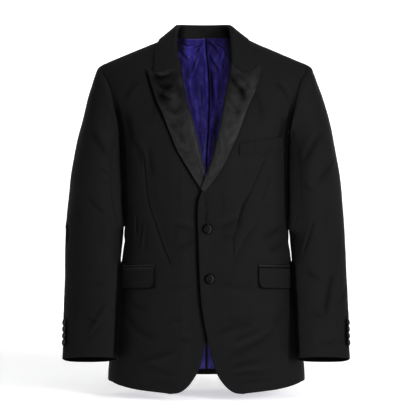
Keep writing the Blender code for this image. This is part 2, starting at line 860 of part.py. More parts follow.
def gorge_height(hand, x):
    """Height of the collar's front end at x, just over the lapel's top line."""
    start, _ = lapel_plan(hand, 0.0, 0.0)
    end, _ = lapel_plan(hand, 1.0, 0.0)
    _, z = lapel_plan(hand, (x - start) / (end - start), 0.0)
    return z + LAPEL_WALL / 2 + GORGE_GAP


def collar_section(hand, station):
    """Mid-wall points across the collar, standing behind and rolling in front."""
    points = standing_section(hand, station)
    if station < COLLAR_BACK_STATIONS:
        return points
    share = smooth(5, 9, station)
    return [a.lerp(b, share) for a, b in zip(points, rolling_section(hand, station))]


def build_collar():
    stations = range(len(COLLAR.rows))
    right = [collar_section(-1, s) for s in reversed(stations)]
    left = [collar_section(1, s) for s in stations]
    middle = [(a + b) / 2 for a, b in zip(right[-1], left[0])]
    centred_wall("collar", right[:-1] + [middle] + left[1:], COLLAR_WALL, "wool")


# ---------------------------------------------------------------- sleeves

def armhole_loop(hand):
    """Points and body normals round the armhole: top, front, bottom, back."""
    places = [(outer_angle(row, False), row) for row in ROWS[: JOIN_ROW + 1]]
    places += side_places()[0][1:-1]
    places += [(outer_angle(row, True), row) for row in reversed(ROWS[1 : JOIN_ROW + 1])]
    points = [form(hand, angle, row) for angle, row in places]
    normals = [form_normal(hand, angle, row) for angle, row in places]
    return points, normals


def sleeve_ring(hand, ring, angle):
    """Point of the sleeve's plain form; angle 0 is outermost and 90 degrees the front."""
    def of(name):
        return SLEEVE.at(ring, name)

    outer = Vector((of("outer_left" if hand > 0 else "outer_right"), 0.0, of("outer_z")))
    inner = Vector((of("inner_x"), 0.0, of("inner_z")))
    inner.x -= hand * lean(inner.x, -inner.z)
    across = (outer - inner) / 2
    tilt = math.radians(of("tilt"))
    forward = Vector((0.0, -math.cos(tilt), math.sin(tilt))) * of("half_depth")
    centre = (outer + inner) / 2 + Vector((0.0, of("middle_y"), 0.0))
    point = centre + across * math.cos(angle)
    point += forward * math.sin(angle - math.radians(of("shear")))
    return Vector((hand * point.x, point.y, point.z))


def loop_angles(hand):
    """Angle of each armhole point about the armhole's middle."""
    points, _ = armhole_loop(hand)
    top = sleeve_ring(hand, 0, 0.0)
    bottom = sleeve_ring(hand, 0, math.pi)
    half = (top - bottom).length / 2
    axis = (top - bottom).normalized()
    deep = SLEEVE.at(0, "half_depth")
    angles = []
    for point in points:
        rise = (point - (top + bottom) / 2).dot(axis) / half
        angle = math.atan2(-point.y / deep, rise)
        angles.append(angle if angle > -1e-6 or len(angles) < 3 else angle + math.tau)
    angles[0] = 0.0
    return angles


def seam_columns(angles):
    """Columns of the fore seam and of the hind seam."""
    fore = min(range(len(angles)), key=lambda j: abs(angles[j] - math.radians(FORE_ANGLE)))
    back = math.radians(HIND_ANGLE) + math.tau
    hind = min(range(len(angles)), key=lambda j: abs(angles[j] - back))
    return fore, hind


def sleeve_angles(angles, ring):
    """Column angles at a ring: seams turn towards the cuff and columns even out."""
    fore, hind = seam_columns(angles)
    count = len(angles)
    turn = smooth(SEAM_TURN_START, RINGS, ring)
    fore_angle = angles[fore] + math.radians(FORE_SEAM_TURN) * turn
    hind_angle = angles[hind] + math.radians(HIND_SEAM_TURN) * turn
    even = smooth(0, ARMHOLE_FADE_RINGS, ring)
    result = []
    for j, angle in enumerate(angles):
        if fore <= j <= hind:
            share = (j - fore) / (hind - fore)
            spread = fore_angle + (hind_angle - fore_angle) * share
        else:
            past = j - hind if j > hind else j + count - hind
            share = past / (count - hind + fore)
            start = hind_angle - math.tau
            spread = start + (fore_angle - start) * share
            spread += math.tau if j > hind else 0.0
        result.append(angle + (spread - angle) * even)
    return result


def sleeve_grid(hand):
    """Closed rings of points from the armhole to the cuff, with their normals."""
    loop, body_normals = armhole_loop(hand)
    angles = loop_angles(hand)
    misfit = [p - sleeve_ring(hand, 0, a) for p, a in zip(loop, angles)]
    rings = []
    for ring in range(RINGS + 1):
        share = 1 - smooth(0, ARMHOLE_FADE_RINGS, ring)
        here = sleeve_angles(angles, ring)
        rings.append([sleeve_ring(hand, ring, a) + m * share for a, m in zip(here, misfit)])
    normals = []
    count = len(loop)
    for i, line in enumerate(rings):
        above = rings[max(i - 1, 0)]
        below = rings[min(i + 1, RINGS)]
        row_normals = []
        for j in range(count):
            around = line[(j + 1) % count] - line[j - 1]
            row_normals.append(hand * around.cross(below[j] - above[j]).normalized())
        normals.append(row_normals)
    normals[0] = [(n + b).normalized() for n, b in zip(normals[0], body_normals)]
    return rings, normals


def build_sleeve(hand, side):
    rings, normals = sleeve_grid(hand)
    inner = offset_grid(rings, normals, -SLEEVE_WALL)
    fore, hind = seam_columns(loop_angles(hand))
    count = len(rings[0])
    columns = {
        "top_sleeve_": [j % count for j in range(hind, count + fore + 1)],
        "under_sleeve_": list(range(fore, hind + 1)),
    }
    for name, chosen in columns.items():
        grids = [[[line[j] for j in chosen] for line in grid] for grid in (rings, inner)]
        half = GAP / 2
        outside, inside = (trimmed(g, top=0.0005, first=half, last=half) for g in grids)
        wall(name + side, outside, inside, "wool")


# ---------------------------------------------------------------- pockets and buttons

def build_welt():
    """Chest pocket welt on the wearer's left."""
    grids = []
    for lift in reversed(WELT_LIFTS):
        grid = []
        for drop in (0.0, WELT_HEIGHT / 2, WELT_HEIGHT):
            line = []
            for j in range(WELT_CELLS + 1):
                x = WELT_X[0] + (WELT_X[1] - WELT_X[0]) * j / WELT_CELLS
                z = WELT_TOP + WELT_RISE * (x - WELT_X[0]) - drop
                line.append(lifted(1, x, z, lift))
            grid.append(line)
        grids.append(grid)
    wall("chest_welt", grids[0], grids[1], "wool")


def hip_strip(name, hand, top, tall, cells, lifts, corner, kind):
    """Band over the hip from the pocket's front end round to the side."""
    start = angle_of(FLAP_X, FLAP_TOP)
    end = math.radians(FLAP_END)
    grids = []
    for lift in reversed(lifts):
        grid = []
        for i in range(cells + 1):
            line = []
            for j in range(FLAP_CELLS + 1):
                share = j / FLAP_CELLS
                angle = start + (end - start) * share
                row = top + FLAP_SLANT * share + tall * i / cells
                if i == cells and j in (0, FLAP_CELLS):
                    row -= corner
                normal = form_normal(hand, angle, row)
                line.append(form(hand, angle, row) + normal * lift)
            grid.append(line)
        grids.append(grid)
    wall(name, grids[0], grids[1], kind)


def build_pockets(hand, side):
    jet_top = FLAP_TOP - JET_HEIGHT - GAP * 2
    hip_strip("jet_" + side, hand, jet_top, JET_HEIGHT, 1, JET_LIFTS, 0.0, "satin")
    hip_strip("flap_" + side, hand, FLAP_TOP, FLAP_HEIGHT, 3, FLAP_LIFTS, FLAP_CORNER, "wool")


def button_mesh(name, radius, steps):
    """Domed covered button, turned about Z."""
    outline = bpy.data.meshes.new(name + "_outline")
    points = [(x * radius, 0.0, z * radius) for x, z in BUTTON_OUTLINE]
    edges = [(i, i + 1) for i in range(len(points) - 1)]
    outline.from_pydata(points, edges, [])
    turned = bpy.data.objects.new(name + "_outline", outline)
    bpy.data.collections[NAME].objects.link(turned)
    screw = turned.modifiers.new("turn", "SCREW")
    screw.steps = steps
    screw.render_steps = steps
    screw.use_merge_vertices = True
    screw.merge_threshold = 0.00001
    bpy.context.view_layer.update()
    evaluated = turned.evaluated_get(bpy.context.evaluated_depsgraph_get())
    mesh = bpy.data.meshes.new_from_object(evaluated)
    bpy.data.objects.remove(turned)
    mesh.name = name
    return mesh


def place_button(name, radius, steps, point, normal, kind="satin"):
    """Button with its back a small gap off the cloth, facing along the normal."""
    button = add_object(name, button_mesh(name, radius, steps), kind)
    turn = normal.to_track_quat("Z", "Y").to_matrix().to_4x4()
    button.matrix_world = Matrix.Translation(point + normal * BUTTON_GAP) @ turn


def build_front_buttons():
    for number, (x, z) in enumerate(FRONT_BUTTONS, 1):
        row = row_at(x, z)
        normal = form_normal(1, angle_of(x, row), row)
        place_button(f"front_button_{number}", FRONT_BUTTON_RADIUS, 20, lifted(1, x, z, 0.0), normal)


def build_cuff_buttons(hand, side):
    angle = math.radians(CUFF_BUTTON_ANGLE)
    for number, z in enumerate(CUFF_BUTTON_HEIGHTS, 1):
        ring = RINGS - 5.0
        while sleeve_ring(hand, ring, angle).z > z and ring < RINGS:
            ring += 0.01
        point = sleeve_ring(hand, ring, angle)
        down = sleeve_ring(hand, ring + 0.05, angle) - point
        around = sleeve_ring(hand, ring, angle + 0.02) - point
        normal = hand * around.cross(down).normalized()
        place_button(f"cuff_button_{side}_{number}", CUFF_BUTTON_RADIUS, 12, point, normal)


def main():
    for old in list(bpy.data.objects):
        bpy.data.objects.remove(old)
    collection = bpy.data.collections.new(NAME)
    bpy.context.scene.collection.children.link(collection)
    for hand, side in ((1, "left"), (-1, "right")):
        build_body(hand, side)
        build_lining(hand, side)
        build_lapel(hand, side)
        build_sleeve(hand, side)
        build_pockets(hand, side)
        build_cuff_buttons(hand, side)
    build_vent()
    build_collar()
    build_welt()
    build_front_buttons()


main()
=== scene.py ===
"""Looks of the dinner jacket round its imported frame: cloth, creases, satin, lining and buttons.

Metres, +Z up, front towards -Y and the wearer's left at +X. A "row" is a distance down from
the shoulder line, a "hand" is +1 for the wearer's left half and -1 for the right half, and
sizes across are given away from the middle on that hand's own side. Crease lists are in
millimetres: (depth, width, lip, places along the crease). A negative depth is a ridge, and
a lip raises one side of a trough: 1 the far side from the middle, -1 the near side.
"""

import math

import bpy
import numpy as np
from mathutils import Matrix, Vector


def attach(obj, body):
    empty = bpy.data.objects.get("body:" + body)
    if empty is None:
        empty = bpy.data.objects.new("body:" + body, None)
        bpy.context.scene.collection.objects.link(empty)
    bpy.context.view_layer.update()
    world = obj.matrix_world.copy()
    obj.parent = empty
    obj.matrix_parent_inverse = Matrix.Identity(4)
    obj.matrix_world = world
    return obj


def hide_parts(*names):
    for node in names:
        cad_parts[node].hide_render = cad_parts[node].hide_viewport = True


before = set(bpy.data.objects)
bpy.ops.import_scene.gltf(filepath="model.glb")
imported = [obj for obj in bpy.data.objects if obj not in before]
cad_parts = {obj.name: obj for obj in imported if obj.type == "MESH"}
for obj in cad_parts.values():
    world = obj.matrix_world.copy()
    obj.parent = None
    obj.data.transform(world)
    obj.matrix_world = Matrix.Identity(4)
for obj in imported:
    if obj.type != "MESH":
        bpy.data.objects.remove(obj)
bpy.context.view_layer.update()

# ---------------------------------------------------------------- the garment's form

FRONT_WALL = 0.0020
BACK_WALL = 0.0016
SLEEVE_WALL = 0.0015
LAPEL_WALL = 0.0024
COLLAR_WALL = 0.0025
LINING_WALL = 0.0010

SHOULDER_HALF = 0.229
NECK_HALF = 0.075
NECK_MIDDLE = -0.006
NECK_DROP = 0.0255
NECK_FADE = 0.120
RIDGE_ROUND = 0.012
SHOULDER_SLOPE = 0.4205
ARMPIT = 0.240
CHEST_RISE = 0.230
RISE_BEND = 1.6
SECTION_POWER = 0.8
SQUARE_SHOULDER = 0.50
FRONT_NECK_POWER = 0.60
BACK_NECK_POWER = 0.47
JOIN = 0.225
HEM_SEAM_FRONT = 0.052
HEM_SEAM_BACK = 0.062
HEM_START = 0.700
SIDE_HEM_FRONT = 0.7715
SIDE_HEM_BACK = 0.7690
BACK_HEM = 0.7757
LAP_STEP = 0.0031
VENT_TOP = 0.555
LAST_ROW = 0.789

# row, half width, front depth, back depth
HALF_WIDTH, FRONT_DEPTH, BACK_DEPTH = 1, 2, 3
BODY = (
    (0.000, 0.2520, 0.1220, 0.1280), (0.054, 0.2465, 0.1220, 0.1285),
    (0.112, 0.2350, 0.1225, 0.1290), (0.142, 0.2265, 0.1230, 0.1295),
    (0.172, 0.2165, 0.1235, 0.1300), (0.200, 0.2055, 0.1240, 0.1300),
    (0.225, 0.1950, 0.1240, 0.1300), (0.244, 0.1905, 0.1240, 0.1295),
    (0.275, 0.1880, 0.1235, 0.1280), (0.315, 0.1865, 0.1225, 0.1255),
    (0.355, 0.1858, 0.1205, 0.1210), (0.395, 0.1850, 0.1175, 0.1165),
    (0.435, 0.1838, 0.1155, 0.1130), (0.460, 0.1842, 0.1155, 0.1130),
    (0.490, 0.1885, 0.1165, 0.1145), (0.515, 0.1915, 0.1175, 0.1165),
    (0.555, 0.1955, 0.1195, 0.1205), (0.595, 0.2000, 0.1215, 0.1245),
    (0.660, 0.2085, 0.1240, 0.1295), (0.740, 0.2195, 0.1260, 0.1330),
    (0.790, 0.2215, 0.1270, 0.1340),
)
# depth, armhole edge of the front, armhole edge of the back
ARMHOLE = (
    (0.064, 0.2290, 0.2290), (0.088, 0.2255, 0.2275), (0.100, 0.2168, 0.2230),
    (0.128, 0.2062, 0.2145), (0.165, 0.1972, 0.2055), (0.202, 0.1888, 0.1960),
    (0.229, 0.1856, 0.1890), (0.245, 0.1850, 0.1880),
)
ARMHOLE_LINE = tuple(row[:2] for row in ARMHOLE[:-1])
# depth, inner edge of the front: neck, roll line, front edge, cutaway quarter
FRONT_EDGE = {
    1: (
        (0.000, 0.0690), (0.010, 0.0655), (0.030, 0.0635), (0.065, 0.0600), (0.085, 0.0566),
        (0.151, 0.0436), (0.208, 0.0343), (0.261, 0.0220), (0.302, 0.0077), (0.330, -0.0035),
        (0.355, -0.0117), (0.372, -0.0176), (0.406, -0.0195), (0.454, -0.0178),
        (0.511, -0.0160), (0.587, -0.0117), (0.634, -0.0052), (0.673, 0.0022),
        (0.702, 0.0088), (0.734, 0.0174), (0.754, 0.0262), (0.771, 0.0384), (0.782, 0.0500),
        (0.7895, 0.0640), (0.7915, 0.0790),
    ),
    -1: (
        (0.000, 0.0810), (0.010, 0.0770), (0.030, 0.0715), (0.065, 0.0630), (0.075, 0.0613),
        (0.151, 0.0471), (0.184, 0.0378), (0.250, 0.0225), (0.306, 0.0083), (0.345, -0.0080),
        (0.372, -0.0180), (0.406, -0.0220), (0.454, -0.0220), (0.511, -0.0210),
        (0.560, -0.0180), (0.600, -0.0140), (0.634, -0.0080), (0.665, -0.0014),
        (0.696, 0.0056), (0.728, 0.0122), (0.745, 0.0197), (0.759, 0.0277), (0.774, 0.0386),
        (0.784, 0.0507), (0.7895, 0.0630), (0.7915, 0.0800),
    ),
}
# share of the way to the side seam, depth of the front hem
FRONT_HEM = ((0.00, 0.7915), (0.25, 0.7875), (0.50, 0.7835), (0.75, 0.7777), (1.00, 0.7715))


def smooth(low, high, value):
    """0 below low, 1 above high, and an even curve between."""
    t = np.clip((np.asarray(value, float) - low) / (high - low), 0.0, 1.0)
    return t * t * (3 - 2 * t)


def between(low, high, value, fade):
    """1 between two places and 0 outside them, with soft ends."""
    return smooth(low - fade, low + fade, value) * (1 - smooth(high - fade, high + fade, value))


def near(gap, width):
    """1 where the gap is 0, fading to nothing over about twice the width."""
    return np.exp(-((gap / width) ** 2))


def at(table, place, column=1):
    """A column of a table at places along its first one, as a smooth curve."""
    table = np.asarray(table, float)
    place = np.asarray(place, float)
    xs, ys = table[:, 0], table[:, column]
    ahead = np.minimum(np.arange(len(xs)) + 1, len(xs) - 1)
    behind = np.maximum(np.arange(len(xs)) - 1, 0)
    slopes = (ys[ahead] - ys[behind]) / (xs[ahead] - xs[behind])
    i = np.searchsorted(xs[1:-1], place)
    span = xs[i + 1] - xs[i]
    t = np.clip((place - xs[i]) / span, 0.0, 1.0)
    rest = 1 - t
    return (
        ys[i] * (1 + 2 * t) * rest * rest
        + slopes[i] * span * t * rest * rest
        + ys[i + 1] * t * t * (3 - 2 * t)
        - slopes[i + 1] * span * t * t * rest
    )


def signed_power(value, power):
    return np.sign(value) * np.abs(value) ** power


def unit(vectors):
    return vectors / np.maximum(np.linalg.norm(vectors, axis=-1, keepdims=True), 1e-12)


def shoulder_drop(x):
    return SHOULDER_SLOPE * (np.hypot(x, RIDGE_ROUND) - math.hypot(NECK_HALF, RIDGE_ROUND))


def height(x, row):
    return -row - shoulder_drop(x) * np.maximum(1 - row / ARMPIT, 0.0)


def row_at(x, z):
    drop = shoulder_drop(x)
    row = (-z - drop) / (1 - drop / ARMPIT)
    return np.where(row < ARMPIT, np.maximum(row, 0.0), -z)


def half_depth(x, row, back):
    near_neck = np.where(back, BACK_NECK_POWER, FRONT_NECK_POWER)
    power = near_neck + (SQUARE_SHOULDER - near_neck) * smooth(0.06, 0.20, np.abs(x))
    climb = 1 - (1 - np.minimum(row / CHEST_RISE, 1.0)) ** RISE_BEND
    deep = np.where(back, at(BODY, row, BACK_DEPTH), at(BODY, row, FRONT_DEPTH))
    return deep * climb**power


def lean(x, row):
    """How far the shoulders and arms stand towards the wearer's right at a place."""
    return 0.0040 * smooth(0.08, 0.13, np.abs(x)) * (1 - smooth(0.23, 0.46, row))


def form(hand, angle, row):
    """Point of the body's outer face: angle 0 is the front middle and pi the back's."""
    angle, row = np.broadcast_arrays(np.asarray(angle, float), np.asarray(row, float))
    x = at(BODY, row, HALF_WIDTH) * signed_power(np.sin(angle), SECTION_POWER)
    forward = signed_power(np.cos(angle), SECTION_POWER)
    y = -forward * half_depth(x, row, forward < 0)
    if hand < 0:
        inset = LAP_STEP * (1 - smooth(0.030, 0.055, x)) * smooth(0.270, 0.310, row)
        y = y + np.where(forward > 0, inset, 0.0)
    return np.stack((hand * x - lean(x, row), y, height(x, row)), -1)


def form_normal(hand, angle, row):
    step = 0.0005
    angle, row = np.broadcast_arrays(np.asarray(angle, float), np.asarray(row, float))
    level = np.where(row < step, 0.0, row)
    down = form(hand, angle, row + step) - form(hand, angle, np.maximum(row - step, 0.0))
    across = form(hand, angle + step, level) - form(hand, angle - step, level)
    zero = np.zeros_like(angle)
    flat = np.stack((zero, -np.sign(np.cos(angle)), zero), -1)
    down = np.where((row < step)[..., None], flat, down)
    return hand * unit(np.cross(down, across))


def angle_of(x, row, back=False):
    reach = np.clip(x / at(BODY, row, HALF_WIDTH), -1.0, 1.0)
    angle = np.arcsin(signed_power(reach, 1 / SECTION_POWER))
    return math.pi - angle if back else angle


def side_angle(y, row):
    deep = half_depth(at(BODY, row, HALF_WIDTH), row, y > 0)
    angle = np.arccos(np.minimum(np.abs(y) / deep, 1.0) ** (1 / SECTION_POWER))
    return np.where(y < 0, angle, math.pi - angle)


def settle(row, edge):
    """Width where an edge given by depth crosses a row."""
    x = edge(row)
    for _ in range(12):
        x = edge(-height(x, row))
    return x


def armhole_angle(row, back):
    return angle_of(settle(row, lambda d: at(ARMHOLE, d, 2 if back else 1)), row, back)


JOIN_FRONT_Y = float(form(1, armhole_angle(JOIN, False), JOIN)[1])
JOIN_BACK_Y = float(form(1, armhole_angle(JOIN, True), JOIN)[1])


def outer_angle(row, back):
    """Outer edge of a front or back panel: armhole, then side seam."""
    share = (row - JOIN) / (BACK_HEM - JOIN)
    if back:
        y = JOIN_BACK_Y + (HEM_SEAM_BACK - JOIN_BACK_Y) * share
    else:
        y = JOIN_FRONT_Y - (HEM_SEAM_FRONT + JOIN_FRONT_Y) * share
    return np.where(row <= JOIN, armhole_angle(row, back), side_angle(y, row))


def inner_angle(hand, row):
    return angle_of(settle(row, lambda d: at(FRONT_EDGE[hand], d)), row)


def hem_row(row, hem):
    low = HEM_START + (row - HEM_START) * (hem - HEM_START) / (LAST_ROW - HEM_START)
    return np.where(row <= HEM_START, row, low)


def lifted(hand, x, z, lift, back=False):
    """Point over the front or back panel at x and z, moved out by lift."""
    x, z = np.broadcast_arrays(np.asarray(x, float), np.asarray(z, float))
    x = x + hand * lean(x, row_at(x, z))
    row = row_at(x, z)
    angle = angle_of(x, row, back)
    return form(hand, angle, row) + form_normal(hand, angle, row) * np.asarray(lift)[..., None]


# ---------------------------------------------------------------- grids and creases

def steps(marks, counts):
    """Evenly divided numbers between marks."""
    parts = [np.linspace(a, b, n, endpoint=False) for a, b, n in zip(marks, marks[1:], counts)]
    return np.concatenate(parts + [[marks[-1]]])


def spread(marks, counts):
    """Columns between marks that change from row to row: marks is (rows, marks)."""
    parts = []
    for k, n in enumerate(counts):
        t = np.linspace(0, 1, n, endpoint=False)
        parts.append(marks[:, k : k + 1] * (1 - t) + marks[:, k + 1 : k + 2] * t)
    return np.concatenate(parts + [marks[:, -1:]], 1)


def spline(points, places):
    """Smooth curve through points along axis 0, read at places from 0 to 1 of its length."""
    points = np.asarray(points, float)
    shape = (-1,) + (1,) * (points.ndim - 1)
    gaps = np.linalg.norm(np.diff(points, axis=0), axis=-1)
    gaps = gaps.reshape(len(gaps), -1).mean(1)
    s = np.concatenate(([0.0], np.cumsum(gaps)))
    grades = np.diff(points, axis=0) / gaps.reshape(shape)
    before, after = gaps[:-1].reshape(shape), gaps[1:].reshape(shape)
    inside = (grades[:-1] * after + grades[1:] * before) / (before + after)
    slopes = np.concatenate((grades[:1], inside, grades[-1:]))
    where = np.asarray(places) * s[-1]
    i = np.clip(np.searchsorted(s, where, side="right") - 1, 0, len(gaps) - 1)
    span = gaps[i].reshape(shape)
    t = ((where - s[i]) / gaps[i]).reshape(shape)
    rest = 1 - t
    return (
        points[i] * (1 + 2 * t) * rest * rest
        + slopes[i] * span * t * rest * rest
        + points[i + 1] * t * t * (3 - 2 * t)
        - slopes[i + 1] * span * t * t * rest
    )


def grid_normals(grid):
    down = np.gradient(grid, axis=0)
    across = np.gradient(grid, axis=1)
    return unit(np.cross(down, across))


def lengths(grid, axis):
    """Distance along a grid from its first line, on the surface."""
    gaps = np.linalg.norm(np.diff(grid, axis=axis), axis=-1)
    start = np.zeros_like(np.take(gaps, [0], axis))
    return np.concatenate((start, np.cumsum(gaps, axis)), axis)


def creases(points, normals, lines):
    """Lift of the creases at each point: below 0 in a trough and above it on a ridge."""
    lift = np.zeros(points.shape[:-1])
    for line, width, depth, lip in lines:
        reach = 3.2 * width + (2.0 * width if lip else 0.0)
        touched = np.all((points > line.min(0) - reach) & (points < line.max(0) + reach), -1)
        here, up = points[touched], normals[touched]
        if not len(here):
            continue
        closest = np.full(len(here), 1e9)
        along = np.zeros(len(here))
        side = np.zeros(len(here))
        for k, (a, b) in enumerate(zip(line[:-1], line[1:])):
            run = b - a
            t = np.clip((here - a) @ run / (run @ run), 0.0, 1.0)
            off = here - (a + t[:, None] * run)
            gap = np.linalg.norm(off, axis=-1)
            nearer = gap < closest
            closest = np.where(nearer, gap, closest)
            along = np.where(nearer, (k + t) / (len(line) - 1), along)
            turn = np.einsum("ij,ij->i", np.cross(run, up), off)
            side = np.where(nearer, np.sign(turn), side)
        shape = -near(closest, width)
        if lip:
            shape += 0.75 * near(side * closest * lip - 1.7 * width, 1.1 * width)
        lift[touched] += depth * shape * smooth(0.0, 0.25, along) * (1 - smooth(0.6, 1.0, along))
    return lift


def drift(points, size):
    """Slow unevenness that no cloth is without."""
    x, y, z = np.moveaxis(points, -1, 0)
    waves = (
        np.sin(41 * x + 23 * z + 1.3) * np.sin(29 * z - 17 * y + 0.4)
        + 0.7 * np.sin(67 * z + 31 * x - 2.1) * np.sin(53 * x - 47 * y + 1.9)
        + 0.5 * np.sin(97 * x - 71 * z + 0.8) * np.sin(83 * y + 59 * z)
        + 0.5 * np.sin(188 * x - 141 * z + 0.5) * np.sin(163 * z + 118 * y + 96 * x + 2.2)
    )
    return size * waves / 2.2


# ---------------------------------------------------------------- materials

class Nodes:
    """Short way to build a material's nodes."""

    def __init__(self, name):
        self.made = bpy.data.materials.new(name)
        self.made.use_nodes = True
        self.tree = self.made.node_tree
        self.shader = self.tree.nodes["Principled BSDF"]

    def add(self, kind, inputs=(), **settings):
        node = self.tree.nodes.new("ShaderNode" + kind)
        for key, value in settings.items():
            setattr(node, key, value)
        for key, value in dict(inputs).items():
            self.put(node, key, value)
        return node

    def put(self, node, key, value):
        if isinstance(value, bpy.types.NodeSocket):
            self.tree.links.new(value, node.inputs[key])
        else:
            node.inputs[key].default_value = value

    def math(self, operation, a, b=0.0):
        return self.add("Math", {0: a, 1: b}, operation=operation).outputs[0]

    def blend(self, *parts):
        """Sum of sockets, each times its weight."""
        total = None
        for socket, weight in parts:
            part = self.math("MULTIPLY", socket, weight)
            total = part if total is None else self.math("ADD", total, part)
        return total

    def ramp(self, value, *stops):
        node = self.add("ValToRGB", {"Fac": value})
        for _ in range(len(stops) - 2):
            node.color_ramp.elements.new(0.5)
        for element, (place, colour) in zip(node.color_ramp.elements, stops):
            element.position = place
            element.color = (*colour, 1.0)
        return node.outputs["Color"]

    def noise(self, vector, scale, detail=2.0, rough=0.5):
        inputs = {"Vector": vector, "Scale": scale, "Detail": detail, "Roughness": rough}
        return self.add("TexNoise", inputs).outputs["Fac"]

    def cloth_axes(self):
        """Place on the cloth in metres: across, along, and the two as one vector."""
        place = self.add("UVMap", uv_map="cloth").outputs["UV"]
        split = self.add("SeparateXYZ", {"Vector": place})
        return split.outputs["X"], split.outputs["Y"], place

    def shaded(self, colour):
        """Colour made darker by the painted shade that the mesh carries, and lighter by painted
        light where that shade is below 0.
        """
        place = self.add("UVMap", uv_map="shade").outputs["UV"]
        shade = self.add("SeparateXYZ", {"Vector": place}).outputs["X"]
        keep = self.math("SUBTRACT", 1.0, shade)
        inputs = {"Vector": colour, "Scale": keep}
        return self.add("VectorMath", inputs, operation="SCALE").outputs[0]

    def wave(self, value, period):
        """Rounded threads, 0 to 1, one for each period in metres."""
        phase = self.math("MULTIPLY", value, math.pi / period)
        return self.math("ABSOLUTE", self.math("SINE", phase))

    def stretched(self, place, across, along):
        inputs = {0: place, 1: (across, along, 1.0)}
        return self.add("VectorMath", inputs, operation="MULTIPLY").outputs[0]

    def bump(self, height, distance, strength, under=None):
        inputs = {"Height": height, "Distance": distance, "Strength": strength}
        if under:
            inputs["Normal"] = under
        return self.add("Bump", inputs).outputs["Normal"]

    def finish(self, **sockets):
        for key, value in sockets.items():
            self.put(self.shader, key.replace("_", " "), value)
        return self.made


def times(tone, factor):
    return tuple(c * factor for c in tone)


def wool(name, tone):
    """Fine black wool twill with a faint nap."""
    nodes = Nodes(name)
    across, along, place = nodes.cloth_axes()
    twill = nodes.wave(nodes.math("ADD", across, along), 0.0009)
    yarn = nodes.wave(across, 0.00045)
    weave = nodes.blend((twill, 0.65), (yarn, 0.35))
    nap = nodes.noise(nodes.stretched(place, 1500, 900), 1.0, 3.0, 0.6)
    cloudy = nodes.noise(place, 9.0, 3.0, 0.6)
    slubs = nodes.noise(nodes.stretched(place, 420, 60), 1.0, 2.0)
    shade = nodes.blend((weave, 0.30), (nap, 0.40), (cloudy, 0.35), (slubs, 0.18))
    dark, light = times(tone, 0.62), times(tone, 1.38)
    colour = nodes.shaded(nodes.ramp(shade, (0.25, dark), (0.90, light)))
    rough = nodes.math("ADD", nodes.math("MULTIPLY", cloudy, 0.14), 0.62)
    fine = nodes.bump(weave, 0.00012, 0.55)
    normal = nodes.bump(nap, 0.00018, 0.40, fine)
    return nodes.finish(
        Base_Color=colour, Roughness=rough, Normal=normal, IOR=1.45, Specular_IOR_Level=0.035,
        Sheen_Weight=0.01, Sheen_Roughness=0.45, Sheen_Tint=(0.80, 0.85, 1.0, 1.0),
    )


def satin(name, tone, gloss, streak, shine):
    """Smooth satin: long floats along the cloth, soft bright sheen, and a mottled colour that is
    painted sheen.
    """
    nodes = Nodes(name)
    across, _, place = nodes.cloth_axes()
    floats = nodes.noise(nodes.stretched(place, 5200, 260), 1.0, 2.0, 0.5)
    ribs = nodes.wave(across, 0.00028)
    cloudy = nodes.noise(place, 48.0, 4.0, 0.62)
    crush = nodes.noise(nodes.stretched(place, 62, 40), 1.0, 4.0, 0.55)
    shade = nodes.blend((floats, 0.35), (cloudy, 0.65))
    # The wide light-and-dark mottling of the colour is painted sheen, standing in for the satin's
    # uneven reflections; streak sets its strength and the crush bump's.
    dark, light = times(tone, 1 - 0.55 * streak), times(tone, 1 + 0.80 * streak)
    colour = nodes.shaded(nodes.ramp(shade, (0.36, dark), (0.66, light)))
    rough = nodes.math("ADD", nodes.math("MULTIPLY", cloudy, 0.16), gloss - 0.08)
    fine = nodes.bump(nodes.math("ADD", floats, nodes.math("MULTIPLY", ribs, 0.3)), 0.00008, 0.35)
    normal = nodes.bump(crush, 0.0030, 0.50 * streak, fine)
    return nodes.finish(
        Base_Color=colour, Roughness=rough, Normal=normal, IOR=1.5, Specular_IOR_Level=shine,
        Anisotropic=0.35, Sheen_Weight=0.02, Sheen_Roughness=0.35,
    )


# place along the lining's ramp, its colour: the dark end is painted shade of small creases and the
# pale end painted sheen
LINING_TONES = (
    (0.38, (0.020, 0.013, 0.150)), (0.50, (0.038, 0.025, 0.250)), (0.62, (0.080, 0.058, 0.390)),
)


def lining_satin(name):
    """Violet-blue lining: thin satin whose streaked colour carries painted shade of small creases
    and paler painted sheen.
    """
    nodes = Nodes(name)
    place = nodes.cloth_axes()[-1]
    floats = nodes.noise(nodes.stretched(place, 3800, 420), 1.0, 2.0, 0.5)
    cloudy = nodes.noise(place, 18.0, 4.0, 0.6)
    crush = nodes.noise(nodes.stretched(place, 84, 28), 1.0, 5.0, 0.62)
    # The crush streaks in the colour are painted shade and sheen of small creases.
    shade = nodes.blend((crush, 0.75), (cloudy, 0.25))
    colour = nodes.shaded(nodes.ramp(shade, *LINING_TONES))
    rough = nodes.math("ADD", nodes.math("MULTIPLY", cloudy, 0.14), 0.30)
    fine = nodes.bump(floats, 0.00008, 0.35)
    normal = nodes.bump(crush, 0.0030, 0.80, fine)
    return nodes.finish(
        Base_Color=colour, Roughness=rough, Normal=normal, IOR=1.5, Specular_IOR_Level=0.20,
        Anisotropic=0.30, Sheen_Weight=0.08, Sheen_Roughness=0.35,
        Sheen_Tint=(0.45, 0.40, 1.0, 1.0),
    )


